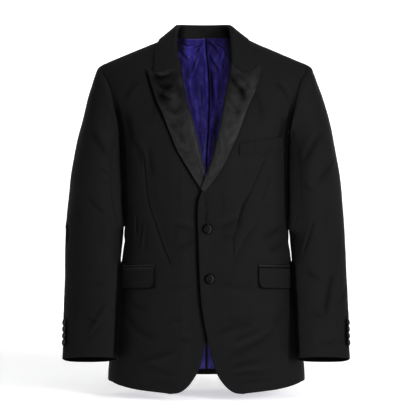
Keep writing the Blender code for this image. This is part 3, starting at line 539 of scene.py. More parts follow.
def thread(name, tone):
    """Twisted sewing thread."""
    nodes = Nodes(name)
    place = nodes.add("TexCoord").outputs["Object"]
    split = nodes.add("SeparateXYZ", {"Vector": place})
    slant = nodes.math("ADD", split.outputs["X"], split.outputs["Z"])
    twist = nodes.wave(slant, 0.0007)
    fuzz = nodes.noise(place, 2600.0, 2.0)
    shade = nodes.blend((twist, 0.6), (fuzz, 0.4))
    colour = nodes.ramp(shade, (0.2, times(tone, 0.5)), (0.8, times(tone, 1.3)))
    normal = nodes.bump(twist, 0.0002, 0.7)
    return nodes.finish(Base_Color=colour, Roughness=0.6, Normal=normal, Specular_IOR_Level=0.15)


WOOL = wool("wool_black", (0.0055, 0.0056, 0.0057))
SATIN = satin("satin_black", (0.0098, 0.0098, 0.0097), 0.48, 1.0, 0.055)
BUTTON = satin("satin_button", (0.0080, 0.0080, 0.0082), 0.34, 0.4, 0.020)
LINING = lining_satin("lining_violet")
SILK = thread("thread_black", (0.0040, 0.0040, 0.0043))
COTTON = thread("thread_pale", (0.62, 0.62, 0.60))


# ---------------------------------------------------------------- meshes

def add_uv(mesh, name, places, faces):
    """UV map from one pair for each point, spread over the corners of the faces."""
    corners = np.ascontiguousarray(places[faces.ravel()], np.float32)
    mesh.uv_layers.new(name=name).data.foreach_set("uv", corners.ravel())


def add_piece(name, nodes, points, faces, materials, looks=None, places=None, shade=None):
    """Mesh piece that rides on the jacket and stands for its CAD nodes."""
    mesh = bpy.data.meshes.new(name)
    mesh.vertices.add(len(points))
    mesh.vertices.foreach_set("co", np.ascontiguousarray(points, np.float32).ravel())
    mesh.loops.add(faces.size)
    mesh.loops.foreach_set("vertex_index", np.ascontiguousarray(faces, np.int32).ravel())
    mesh.polygons.add(len(faces))
    starts = np.arange(0, faces.size, faces.shape[1], dtype=np.int32)
    mesh.polygons.foreach_set("loop_start", starts)
    mesh.update(calc_edges=True)
    if looks is not None:
        mesh.polygons.foreach_set("material_index", np.ascontiguousarray(looks, np.int32))
    if places is not None:
        add_uv(mesh, "cloth", places, faces)
    if shade is not None:
        add_uv(mesh, "shade", np.stack((shade, 0 * shade), -1), faces)
    mesh.shade_smooth()
    for material in materials:
        mesh.materials.append(material)
    piece = bpy.data.objects.new(name, mesh)
    bpy.context.scene.collection.objects.link(piece)
    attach(piece, "root")
    if nodes:
        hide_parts(*nodes)


def quads_of(rows, columns, offset=0):
    index = np.arange(rows * columns).reshape(rows, columns) + offset
    a, b, c, d = index[:-1, :-1], index[:-1, 1:], index[1:, 1:], index[1:, :-1]
    return np.stack((a, b, c, d), -1).reshape(-1, 4)


def rim_of(rows, columns):
    top = [(0, j) for j in range(columns)]
    right = [(i, columns - 1) for i in range(1, rows)]
    bottom = [(rows - 1, j) for j in range(columns - 2, -1, -1)]
    left = [(i, 0) for i in range(rows - 2, 0, -1)]
    return np.array([i * columns + j for i, j in top + right + bottom + left])


def cloth(
    name, nodes, base, normal, wall, rounds, materials, lift,
    inner=None, start=0.0, shade=None, under=-math.inf,
):
    """Thin closed shell under a grid of outer points.

    rounds are the edge radii: top, bottom, first column, last column. inner picks the
    material of each inner cell, start is the cloth's width before the first column,
    shade is the painted shade of each point, how much darker it is than plain cloth, and
    below 0 the painted light, how much lighter; under is the least painted shade of each
    point on the inner face.
    """
    down, across = lengths(base, 0), lengths(base, 1)
    full = np.full(base.shape[:2], 1.0)
    gaps = (down, down[-1:] - down, across, across[:, -1:] - across)
    for gap, radius in zip(gaps, rounds):
        if radius:
            short = 1 - np.minimum(gap / radius, 1.0)
            full *= 0.22 + 0.78 * np.sqrt(np.maximum(1 - short * short, 0.0))
    middle = base + normal * (np.asarray(lift) - wall / 2)[..., None]
    outside = middle + normal * (wall / 2 * full)[..., None]
    inside = middle - normal * (wall / 2 * full)[..., None]
    rows, columns = base.shape[:2]
    count = rows * columns
    front = quads_of(rows, columns)
    back = quads_of(rows, columns, count)[:, ::-1]
    rim = rim_of(rows, columns)
    ahead = np.roll(rim, -1)
    sides = np.stack((rim, rim + count, ahead + count, ahead), -1)
    a, b, d = outside[:-1, :-1], outside[:-1, 1:], outside[1:, :-1]
    facing = np.einsum("ijk,ijk->", np.cross(b - a, d - a), normal[:-1, :-1])
    faces = np.concatenate((front, back, sides))
    if facing < 0:
        faces = faces[:, ::-1]
    looks = np.zeros(len(faces), int)
    if inner is not None:
        cells = np.broadcast_to(inner, (rows - 1, columns - 1)).ravel()
        looks[len(front) : len(front) + len(back)] = cells
    flat = np.stack((across + np.asarray(start), down), -1).reshape(-1, 2)
    points = np.concatenate((outside.reshape(-1, 3), inside.reshape(-1, 3)))
    flat = np.concatenate((flat, flat))
    if shade is not None:
        shade = np.broadcast_to(shade, (rows, columns))
        shade = np.concatenate((shade.ravel(), np.maximum(shade, under).ravel()))
    add_piece(name, nodes, points, faces, materials, looks, flat, shade)


# ---------------------------------------------------------------- creases of the body

# strength of the listed creases on each part
FRONT_STRENGTH = 1.45
SLEEVE_STRENGTH = 1.4
LAPEL_STRENGTH = 0.50

# Dart seam of each front by depth, with the depths where it starts and ends
DART = {
    1: (
        (0.000, 0.150), (0.200, 0.143), (0.280, 0.1285), (0.350, 0.0985), (0.380, 0.0830),
        (0.428, 0.0660), (0.459, 0.0600), (0.520, 0.0640), (0.600, 0.0900), (0.790, 0.1300),
    ),
    -1: (
        (0.000, 0.150), (0.200, 0.1440), (0.263, 0.1382), (0.372, 0.1273), (0.428, 0.1099),
        (0.472, 0.0946), (0.509, 0.0794), (0.560, 0.0800), (0.640, 0.0980), (0.790, 0.1300),
    ),
}
DART_ENDS = {1: (0.262, 0.500), -1: (0.250, 0.516)}

# Broad drag folds that the solids have too: x0 z0 x1 z1 width depth
DRAGS = {
    1: (
        (0.123, -0.281, 0.092, -0.355, 0.016, 0.0030),
        (0.096, -0.345, 0.060, -0.440, 0.014, 0.0030),
        (0.113, -0.411, 0.058, -0.505, 0.014, 0.0026),
        (0.060, -0.632, 0.130, -0.640, 0.018, 0.0022),
        (0.066, -0.700, 0.150, -0.706, 0.018, 0.0020),
    ),
    -1: (
        (0.133, -0.263, 0.118, -0.380, 0.013, 0.0024),
        (0.119, -0.370, 0.076, -0.512, 0.013, 0.0028),
        (0.150, -0.405, 0.138, -0.470, 0.016, 0.0026),
        (0.020, -0.660, 0.110, -0.675, 0.020, 0.0020),
    ),
}

FRONT_CREASES = {
    1: (
        (0.8, 3.4, 1, (96, -352), (80, -384), (69, -430), (60, -462)),
        (0.9, 3.0, 1, (118, -408), (98, -438), (84, -457), (56, -520)),
        (0.5, 5.0, -1, (150, -300), (132, -350), (112, -392)),
        (1.0, 6.0, 0, (166, -428), (140, -446), (112, -452)),
        (0.8, 7.0, 0, (172, -462), (150, -476), (126, -480)),
        (0.9, 8.0, -1, (24, -431), (52, -422), (86, -408)),
        (0.6, 7.0, 0, (26, -442), (48, -450), (78, -452)),
        (0.5, 8.0, 1, (20, -548), (60, -556), (110, -566)),
        (0.7, 6.0, 1, (14, -668), (38, -652), (70, -644), (112, -640)),
        (0.9, 7.0, -1, (26, -700), (66, -698), (111, -681), (165, -642)),
        (0.6, 5.0, 1, (58, -676), (90, -662), (124, -652)),
        (0.7, 6.0, 1, (40, -738), (85, -725), (140, -718)),
        (0.7, 5.0, -1, (42, -752), (85, -746), (150, -746)),
        (0.5, 4.5, 1, (60, -768), (101, -764), (150, -762)),
        (0.6, 6.0, 0, (44, -628), (70, -632), (104, -640)),
        (0.6, 8.0, 0, (172, -606), (158, -630), (140, -650)),
        (0.4, 5.0, -1, (30, -716), (56, -708), (92, -704)),
        (1.3, 10.0, 0, (178, -178), (166, -228), (160, -276)),
        (0.7, 8.0, 0, (100, -120), (118, -165), (124, -208)),
        (0.8, 7.0, -1, (150, -106), (172, -128), (188, -158)),
        (0.6, 5.0, 1, (148, -248), (132, -268), (112, -276)),
        (0.5, 5.0, 0, (30, -348), (36, -380), (34, -410)),
        (0.8, 2.4, 0, (-1, -346), (0, -384), (1, -424)),
        (-0.5, 14.0, 0, (60, -260), (58, -330), (44, -390)),
    ),
    -1: (
        (1.2, 2.8, 1, (150, -392), (156, -424), (152, -464)),
        (1.0, 2.6, -1, (141, -412), (144, -440), (150, -484)),
        (0.7, 3.4, 0, (166, -366), (170, -400), (163, -436)),
        (0.6, 2.8, 1, (132, -434), (136, -466), (134, -496)),
        (0.6, 4.0, 0, (67, -432), (68, -450), (74, -472)),
        (1.0, 7.0, -1, (160, -236), (148, -262), (140, -300)),
        (0.9, 6.0, 0, (128, -250), (122, -292), (114, -330)),
        (0.8, 7.0, 1, (26, -436), (54, -428), (84, -420)),
        (0.6, 8.0, 0, (22, -452), (50, -470), (78, -474)),
        (0.4, 7.0, -1, (24, -548), (56, -560), (98, -556)),
        (0.8, 7.0, 1, (182, -606), (160, -646), (118, -668), (86, -672)),
        (0.7, 4.5, -1, (66, -666), (46, -673), (24, -679)),
        (0.7, 6.0, 1, (150, -722), (116, -712), (74, -700), (40, -702)),
        (0.6, 6.0, -1, (136, -726), (104, -738), (60, -752)),
        (0.6, 6.0, 0, (174, -590), (144, -606), (110, -610)),
        (0.5, 5.0, 1, (90, -640), (66, -630), (38, -632)),
        (0.4, 5.0, -1, (120, -762), (90, -766), (66, -764)),
        (1.3, 10.0, 0, (176, -172), (168, -220), (164, -262)),
        (0.7, 9.0, 0, (96, -118), (112, -160), (120, -206)),
        (0.8, 7.0, -1, (148, -104), (168, -126), (184, -156)),
        (0.5, 6.0, 0, (60, -300), (64, -340), (58, -380)),
        (-0.5, 14.0, 0, (70, -250), (66, -320), (50, -380)),
    ),
}
BACK_CREASES = {
    1: (
        (2.0, 13.0, -1, (186, -190), (176, -270), (158, -350)),
        (1.4, 9.0, 1, (160, -180), (150, -240), (136, -300)),
        (1.5, 9.0, 0, (18, -424), (60, -436), (112, -430)),
        (1.2, 7.0, 1, (14, -452), (52, -460), (96, -454)),
        (0.9, 8.0, 0, (150, -400), (128, -420), (104, -414)),
        (1.3, 10.0, -1, (168, -268), (134, -330), (96, -384)),
        (0.9, 12.0, 0, (40, -40), (58, -110), (62, -190)),
        (1.2, 12.0, 0, (66, -560), (74, -650), (70, -750)),
        (1.0, 10.0, 1, (128, -580), (134, -670), (126, -756)),
        (0.7, 9.0, 0, (20, -90), (26, -160), (22, -250)),
        (0.8, 6.0, 1, (30, -560), (52, -580), (84, -584)),
        (-0.9, 16.0, 0, (104, -120), (112, -200), (104, -290)),
    ),
    -1: (
        (1.8, 12.0, -1, (184, -200), (178, -262), (164, -340)),
        (1.5, 10.0, 1, (156, -168), (152, -232), (142, -310)),
        (1.3, 8.0, 0, (20, -432), (66, -428), (104, -438)),
        (1.3, 8.0, -1, (16, -462), (58, -454), (108, -464)),
        (1.0, 9.0, 0, (154, -410), (126, -404), (98, -412)),
        (1.2, 9.0, 1, (170, -276), (140, -322), (108, -372)),
        (0.9, 11.0, 0, (44, -52), (54, -120), (66, -182)),
        (1.1, 13.0, 0, (58, -580), (62, -660), (72, -744)),
        (1.2, 11.0, -1, (122, -566), (130, -650), (132, -750)),
        (0.6, 9.0, 0, (16, -110), (22, -190), (26, -262)),
        (-0.9, 16.0, 0, (100, -130), (108, -210), (98, -300)),
    ),
}
# Side panels: places are (y, z)
SIDE_CREASES = {
    1: (
        (1.3, 8.0, 1, (-26, -420), (6, -434), (38, -430)),
        (1.1, 7.0, -1, (-20, -462), (10, -470), (44, -462)),
        (1.0, 9.0, 0, (0, -270), (6, -320), (-6, -372)),
        (0.9, 10.0, 0, (16, -560), (10, -640), (18, -720)),
        (0.8, 7.0, 1, (-34, -396), (-12, -404), (14, -402)),
    ),
    -1: (
        (1.2, 8.0, -1, (-24, -428), (8, -426), (40, -438)),
        (1.2, 7.0, 1, (-28, -456), (4, -466), (36, -476)),
        (0.9, 9.0, 0, (-4, -276), (2, -330), (8, -380)),
        (1.0, 10.0, 0, (6, -570), (14, -650), (4, -730)),
        (0.7, 7.0, -1, (-20, -494), (6, -500), (30, -494)),
    ),
}
# Lining, as seen from inside: troughs lie towards the back
LINING_CREASES = {
    1: (
        (1.8, 2.8, 1, (1, -1), (10, -7), (18, -14), (31, -37)),
        (1.5, 2.4, 1, (7, -24), (14, -47), (26, -64), (30, -84)),
        (2.0, 2.6, 0, (10, -56), (13, -97), (16, -136), (19, -168)),
        (3.0, 3.8, 0, (30, -156), (25, -180), (21, -205), (16, -240), (10, -275)),
        (-1.8, 2.4, 0, (21, -70), (22, -104), (24, -140)),
        (-1.4, 3.0, 0, (44, -20), (34, -47), (31, -87)),
        (1.2, 2.4, -1, (40, -34), (38, -66), (40, -104)),
        (-1.2, 2.6, 0, (30, -190), (27, -216), (22, -250)),
        (1.2, 2.0, 1, (20, -6), (32, -14), (42, -16)),
        (0.9, 1.8, 1, (36, -12), (44, -24), (48, -40)),
        (0.9, 1.8, 0, (24, -96), (28, -120), (25, -150)),
        (0.8, 1.8, -1, (34, -52), (42, -66), (44, -84)),
        (0.9, 1.8, 1, (14, -60), (20, -84), (21, -112)),
        (1.6, 5.0, 0, (56, -24), (60, -70), (58, -130)),
        (-1.8, 7.0, 0, (60, -150), (54, -240), (58, -340)),
        (1.8, 8.0, 0, (84, -120), (90, -220), (82, -330)),
        (-2.0, 9.0, 0, (112, -180), (108, -300), (116, -420)),
        (1.4, 6.0, 0, (36, -300), (40, -380), (36, -460)),
        (-1.8, 8.0, 0, (70, -480), (66, -560), (72, -660)),
        (1.4, 6.0, 1, (24, -560), (28, -640), (22, -730)),
        (-1.6, 6.0, 0, (46, -600), (50, -680), (44, -756)),
        (1.6, 9.0, 0, (110, -520), (116, -620), (106, -720)),
    ),
    -1: (
        (1.5, 2.4, 1, (10, -6), (18, -22), (24, -36)),
        (0.9, 1.8, 1, (8, -12), (20, -14), (34, -22)),
        (0.9, 1.8, -1, (30, -24), (42, -30), (54, -46)),
        (0.9, 1.8, 0, (24, -50), (28, -72), (24, -96)),
        (0.8, 1.8, 1, (36, -96), (44, -84), (52, -78)),
        (1.0, 2.0, -1, (14, -44), (22, -60), (28, -84)),
        (0.8, 1.6, 0, (46, -60), (42, -78), (45, -94)),
        (1.5, 2.6, 1, (20, -32), (30, -60), (39, -88)),
        (1.3, 2.2, -1, (56, -7), (42, -14), (28, -8)),
        (1.3, 2.6, 1, (61, -22), (49, -37), (40, -54)),
        (1.4, 3.0, -1, (46, -106), (39, -136), (28, -172)),
        (-1.6, 2.8, 0, (26, -118), (22, -170), (14, -224)),
        (1.3, 2.6, 0, (13, -92), (10, -130), (9, -160)),
        (1.4, 2.8, 1, (20, -196), (13, -236), (7, -272)),
        (-1.3, 2.6, 0, (34, -64), (37, -96), (32, -130)),
        (-1.2, 2.4, 0, (40, -24), (32, -42), (30, -58)),
        (1.1, 2.4, 0, (52, -60), (48, -86), (50, -110)),
        (1.6, 5.0, 0, (60, -30), (62, -80), (56, -140)),
        (-2.0, 8.0, 0, (64, -160), (60, -260), (52, -350)),
        (1.8, 8.0, 0, (88, -130), (84, -230), (90, -350)),
        (-1.8, 9.0, 0, (114, -190), (118, -310), (108, -430)),
        (1.5, 6.0, 0, (34, -320), (30, -400), (38, -480)),
        (-1.7, 8.0, 0, (66, -500), (72, -590), (64, -680)),
        (1.5, 6.0, -1, (22, -580), (18, -660), (24, -740)),
        (1.6, 9.0, 0, (104, -540), (100, -630), (110, -720)),
    ),
}


def crease_lines(listed, place, strength=1.0):
    """Creases as smooth lines in space: place turns listed places into points."""
    lines = []
    for depth, width, lip, *spots in listed:
        a, b = np.array(spots, float).T / 1000.0
        ends = spline(place(a, b), np.linspace(0, 1, 9))
        lines.append((ends, width / 1000.0, strength * depth / 1000.0, lip))
    return lines


def drag_folds(hand, points):
    pull = np.zeros(points.shape[:-1])
    for x0, z0, x1, z1, width, depth in DRAGS[hand]:
        run = np.array((x1 - x0, z1 - z0))
        off = np.stack((points[..., 0] * hand - x0, points[..., 2] - z0), -1)
        t = np.clip(off @ run / (run @ run), 0.0, 1.0)
        away = np.linalg.norm(off - t[..., None] * run, axis=-1) / width
        pull += depth * np.exp(-away * away) * (0.35 + 0.65 * np.sin(math.pi * t))
    return pull


FRONT_LINES = {
    hand: crease_lines(
        FRONT_CREASES[hand], lambda x, z, h=hand: lifted(h, x, z, 0.0), FRONT_STRENGTH,
    )
    for hand in (1, -1)
}


def front_lift(hand, points, normals):
    """How far the cloth of a front lies over or under its plain form."""
    lift = creases(points, normals, FRONT_LINES[hand]) - drag_folds(hand, points)
    x, z = points[..., 0], points[..., 2]
    lap = smooth(-0.325, -0.350, z) * (1 - smooth(-0.560, -0.700, z))
    if hand > 0:
        lift = lift + 0.0026 * lap * (1 - smooth(0.0, 0.026, x - at(FRONT_EDGE[1], -z)))
    else:
        lift = lift - 0.0014 * lap * (1 - smooth(0.006, 0.034, -x))
    return lift + drift(points, 0.0005)


# depth, distance out of the narrow dark place between the body and an arm
CREVICE = ARMHOLE_LINE + (
    (0.245, 0.1848), (0.330, 0.1838), (0.430, 0.1835), (0.513, 0.1902), (0.570, 0.1920),
    (0.627, 0.1940), (0.6765, 0.1958), (0.721, 0.1975),
)


# half width of that dark place towards the body's middle and away from it, at the chest and below
CREVICE_REACH = {
    1: ((0.0072, 0.0052), (0.0028, 0.0058)),
    -1: ((0.0088, 0.0048), (0.0028, 0.0052)),
}


def arm_shade(hand, points):
    """Little light gets into the narrow place between the body and an arm."""
    x, y, z = np.moveaxis(points, -1, 0)
    gap = hand * (x + lean(x, -z)) - at(CREVICE, np.clip(-z, 0.064, 0.721))
    high, low = between(0.150, 0.428, -z, 0.035), between(0.505, 0.712, -z, 0.012)
    here = smooth(0.430, 0.505, -z)
    near_side, far_side = CREVICE_REACH[hand]
    beside = near_side[0] + (near_side[1] - near_side[0]) * here
    beyond = far_side[0] + (far_side[1] - far_side[0]) * here
    inward, outward = smooth(0.0, 0.0040, -gap - beside), smooth(0.0, 0.0022, gap - beyond)
    dark = 0.98 * np.where(gap < 0, 1 - inward, 1 - outward) * np.maximum(high, low)
    soft = (0.42 if hand < 0 else 0.16) * (gap < 0) * (1 - smooth(0.008, 0.040, -gap))
    soft = soft * between(0.16, 0.72, -z, 0.03)
    # Painted shade along the upper armhole seam.
    seam = 0.70 * near(gap, 0.0018) * between(0.078, 0.190, -z, 0.015)
    return np.max((dark, soft, seam), 0) * (y < 0.01)


def front_shade(hand, points):
    """Painted shade on a front: shadows beside each edge that lies over it, by the buttons and
    flaps, and by the arm.
    """
    x, _, z = np.moveaxis(points, -1, 0)
    depth, out = -z, hand * (x + lean(x, -z))
    gap = out - at(LAPEL_EDGE[hand], np.clip(depth, LAPEL_TIP[hand], LAPEL_FOOT[hand]))
    if hand > 0:
        line = 0.35 * near(np.maximum(gap, 0.0), 0.0030)
    else:
        wide = 0.0010 + 0.0038 * smooth(0.100, 0.200, depth)
        line = 0.97 * (1 - smooth(0.0, 0.0026, gap - wide))
    shades = [line * (gap > -0.004) * between(LAPEL_TIP[hand] + 0.006, 0.345, depth, 0.008)]
    if hand < 0:
        gap = out + at(FRONT_EDGE[1], depth)
        lapped = 0.97 * (1 - smooth(0.0052, 0.0100, gap))
        shades.append(lapped * between(0.345, 0.725, depth, 0.020))
    else:
        # Painted shade: a soft dark line down the middle above the top button, and a painted shadow
        # ring round each button.
        shades.append(0.60 * near(x, 0.0024) * between(0.352, 0.420, depth, 0.010))
        for place in FRONT_BUTTONS:
            gap = np.hypot(x - place[0], z - place[1]) - FRONT_BUTTON_RADIUS
            shades.append(0.95 * near(gap, 0.0024))
    # Painted shadows beside the pocket flap's front end and under its bottom edge.
    flap = between(FLAP_TOP - JET_HEIGHT, FLAP_TOP + FLAP_HEIGHT, depth, 0.001)
    shades.append(0.80 * near(np.maximum(FLAP_X - out, 0.0), 0.0018) * flap)
    bottom = depth - FLAP_TOP - FLAP_HEIGHT - 0.002
    shades.append(0.55 * near(bottom, 0.0018) * smooth(FLAP_X, FLAP_X + 0.010, out))
    shades.append(arm_shade(hand, points))
    return np.max(shades, 0)


def hollows(lift, depth, dark, light):
    """Shade in the troughs of creases, and a little light on their ridges."""
    return dark * np.clip(-lift / depth, 0.0, 1.0) - light * np.clip(lift / depth, 0.0, 1.0)


def side_of(hand):
    return "left" if hand > 0 else "right"


# ---------------------------------------------------------------- body panels

FINE = (0.0, 0.0004, 0.0010, 0.0018)
EDGE = (0.0, 0.0004, 0.0010, 0.0020, 0.0034, 0.0056)
DART_SIDE = (0.0006, 0.0013, 0.0022, 0.0036, 0.0060)
DART_COLUMNS = tuple(-e for e in reversed(DART_SIDE)) + (0.0,) + DART_SIDE
# height of the turned-up cloth's edge over the hem or cuff, and the dent that it leaves
FRONT_TURN_UP = 0.034
BACK_TURN_UP = 0.036
CUFF_TURN_UP = 0.038
TURN_UP_DENT = 0.00045
TURN_UP_WIDTH = 0.0030


def build_front(hand):
    rows = steps(
        FINE + (0.030, 0.225, 0.700, 0.765, 0.781, 0.787, 0.7882, LAST_ROW),
        (1, 1, 1, 10, 65, 150, 24, 12, 9, 4, 4),
    )
    start = inner_angle(hand, rows)
    end = outer_angle(rows, False)
    dart = settle(rows, lambda d: at(DART[hand], d))
    dart = angle_of(dart + hand * lean(dart, rows), rows)
    wide = np.linalg.norm(form(hand, end, rows) - form(hand, start, rows), axis=-1) * 1.05
    middle = (dart - start) / (end - start)
    marks = [np.full_like(rows, e) / wide for e in EDGE]
    marks += [middle + e / wide for e in DART_COLUMNS]
    marks += [1 - e / wide for e in reversed(EDGE)]
    marks = np.stack(marks, 1)
    counts = [1] * 5 + [34] + [1] * 10 + [30] + [1] * 5
    share = spread(marks, counts)
    here = hem_row(rows[:, None], at(FRONT_HEM, share))
    begin = inner_angle(hand, here)
    angle = begin + (outer_angle(here, False) - begin) * share
    base, normal = form(hand, angle, here), form_normal(hand, angle, here)
    lift = front_lift(hand, base, normal)
    gap = np.abs(share - middle[:, None]) * wide[:, None]
    top, bottom = DART_ENDS[hand]
    sewn = smooth(top - 0.004, top + 0.030, rows) * (1 - smooth(bottom - 0.012, bottom, rows))
    seam = 0.00075 * near(gap, 0.0009) + 0.0007 * near(gap, 0.0050)
    lift -= seam * sewn[:, None]
    across = lengths(base, 1)
    edge = smooth(0.330, 0.380, rows)[:, None]
    lift -= 0.0005 * near(across, 0.0035) * edge
    left = lengths(base, 0)
    hem = left[-1:] - left
    lift -= TURN_UP_DENT * near(hem - FRONT_TURN_UP, TURN_UP_WIDTH)
    # Painted shade in the crease troughs and painted light on their ridges, painted shade along the
    # dart seam and a thin one along the front's inner edge.
    folds = hollows(creases(base, normal, FRONT_LINES[hand]), 0.0016, 0.45, 0.25)
    dart_shade = (0.35 if hand > 0 else 0.90) * near(gap, 0.0016) * sewn[:, None]
    shade = np.maximum(front_shade(hand, base), dart_shade)
    shade = np.maximum(shade, 0.35 * near(across, 0.0010) * edge) + folds * (1 - shade)
    facing = (across < 0.078) | (hem < 0.030) | (rows[:, None] < 0.020) | (share > 0.96)
    cells = np.where(facing[:-1, :-1], 0, 1)
    side = side_of(hand)
    cloth(
        "cloth_front_" + side, ["front_" + side], base, normal, FRONT_WALL,
        (0.0009, 0.0014, 0.0014, 0.0010), [WOOL, LINING], lift, cells, base[:, :1, 0] * hand, shade,
    )


def neck_half(hand):
    return NECK_HALF + hand * NECK_MIDDLE


def neck_row(hand, x):
    return NECK_DROP * np.maximum(1 - (np.abs(x) / neck_half(hand)) ** 1.6, 0.0)


def build_back(hand):
    rows = steps(
        FINE + (0.030, 0.225, 0.700, 0.765, 0.7872, 0.7884, LAST_ROW),
        (1, 1, 1, 10, 60, 140, 20, 9, 3, 3),
    )
    ends = np.array((0.0, 0.0004, 0.0010, 0.0020, 0.0040)) / 0.19
    share = steps(tuple(ends) + tuple(1 - ends[::-1]), [1] * 4 + [60] + [1] * 4)[None, :]
    here = hem_row(rows[:, None], BACK_HEM + (SIDE_HEM_BACK - BACK_HEM) * share)
    top_angle = angle_of(SHOULDER_HALF, 0.0) * share
    top_x = BODY[0][HALF_WIDTH] * np.sin(top_angle) ** SECTION_POWER
    here = here + neck_row(hand, top_x) * np.maximum(1 - rows[:, None] / NECK_FADE, 0.0)
    angle = math.pi + (outer_angle(here, True) - math.pi) * share
    base, normal = form(hand, angle, here), form_normal(hand, angle, here)
    lines = crease_lines(BACK_CREASES[hand], lambda x, z: lifted(hand, x, z, 0.0, True))
    folds = creases(base, normal, lines)
    lift = folds + drift(base, 0.0006)
    across = lengths(base, 1)
    vent = smooth(VENT_TOP - 0.012, VENT_TOP + 0.020, rows)[:, None]
    lap = vent * (1 - smooth(0.020, 0.030, across))
    lift += (0.0009 if hand > 0 else -0.0004) * lap
    down = lengths(base, 0)
    lift -= TURN_UP_DENT * near(down[-1:] - down - BACK_TURN_UP, TURN_UP_WIDTH)
    side = side_of(hand)
    cloth(
        "cloth_back_" + side, ["back_" + side], base, normal, BACK_WALL,
        (0.0009, 0.0014, 0.0010, 0.0010), [WOOL], lift, None, base[:, :1, 0] * hand,
        hollows(folds, 0.0018, 0.30, 0.15),
    )


def build_side(hand):
    rows = steps(
        (JOIN, 0.2254, 0.2264, 0.245, 0.700, 0.765, 0.7872, LAST_ROW), (1, 1, 7, 130, 18, 8, 4),
    )
    ends = np.array((0.0, 0.0004, 0.0010, 0.0020)) / 0.10
    share = steps(tuple(ends) + tuple(1 - ends[::-1]), [1] * 3 + [34] + [1] * 3)[None, :]
    here = hem_row(rows[:, None], SIDE_HEM_FRONT + (SIDE_HEM_BACK - SIDE_HEM_FRONT) * share)
    sag = 0.015 * np.interp(rows, (0.225, 0.245, 0.275, 0.315), (1.0, 0.6, 0.25, 0.0))
    here = here + sag[:, None] * (1 - (2 * share - 1) ** 2)
    start, end = outer_angle(here, False), outer_angle(here, True)
    angle = start + (end - start) * share
    base, normal = form(hand, angle, here), form_normal(hand, angle, here)
    lines = crease_lines(SIDE_CREASES[hand], lambda y, z: form(hand, side_angle(y, -z), -z))
    folds = creases(base, normal, lines)
    shade = np.maximum(arm_shade(hand, base), hollows(folds, 0.0015, 0.30, 0.15))
    side = side_of(hand)
    cloth(
        "cloth_side_" + side, ["side_" + side], base, normal, BACK_WALL,
        (0.0009, 0.0014, 0.0010, 0.0010), [WOOL, LINING], folds + drift(base, 0.0005),
        ((share > 0.05) & (share < 0.93) & (rows[:, None] > 0.230))[:-1, :-1], 0.0, shade,
    )


def build_vent():
    rows = steps((VENT_TOP, BACK_HEM - 0.002), (70,))
    reach = steps((-0.006, 0.038), (16,))
    row, x = rows[:, None], reach[None, :]
    angle = angle_of(x + 0 * row, row + 0 * x, True)
    base, normal = form(1, angle, row), form_normal(1, angle, row)
    inset = -(BACK_WALL + 0.0006)
    cloth(
        "cloth_vent_underlap", ["vent_underlap"], base, normal, LINING_WALL,
        (0.0006, 0.0006, 0.0006, 0.0006), [WOOL], inset + 0.0002 * np.sin(40 * row + 0 * x), None,
    )


# row, place of the lining's pleat across the back
PLEAT = (
    (0.00, -0.0030), (0.04, -0.0020), (0.09, 0.0035), (0.14, 0.0050), (0.21, 0.0030),
    (0.26, -0.0005), (0.30, -0.0015), (0.36, 0.0), (0.79, 0.0),
)


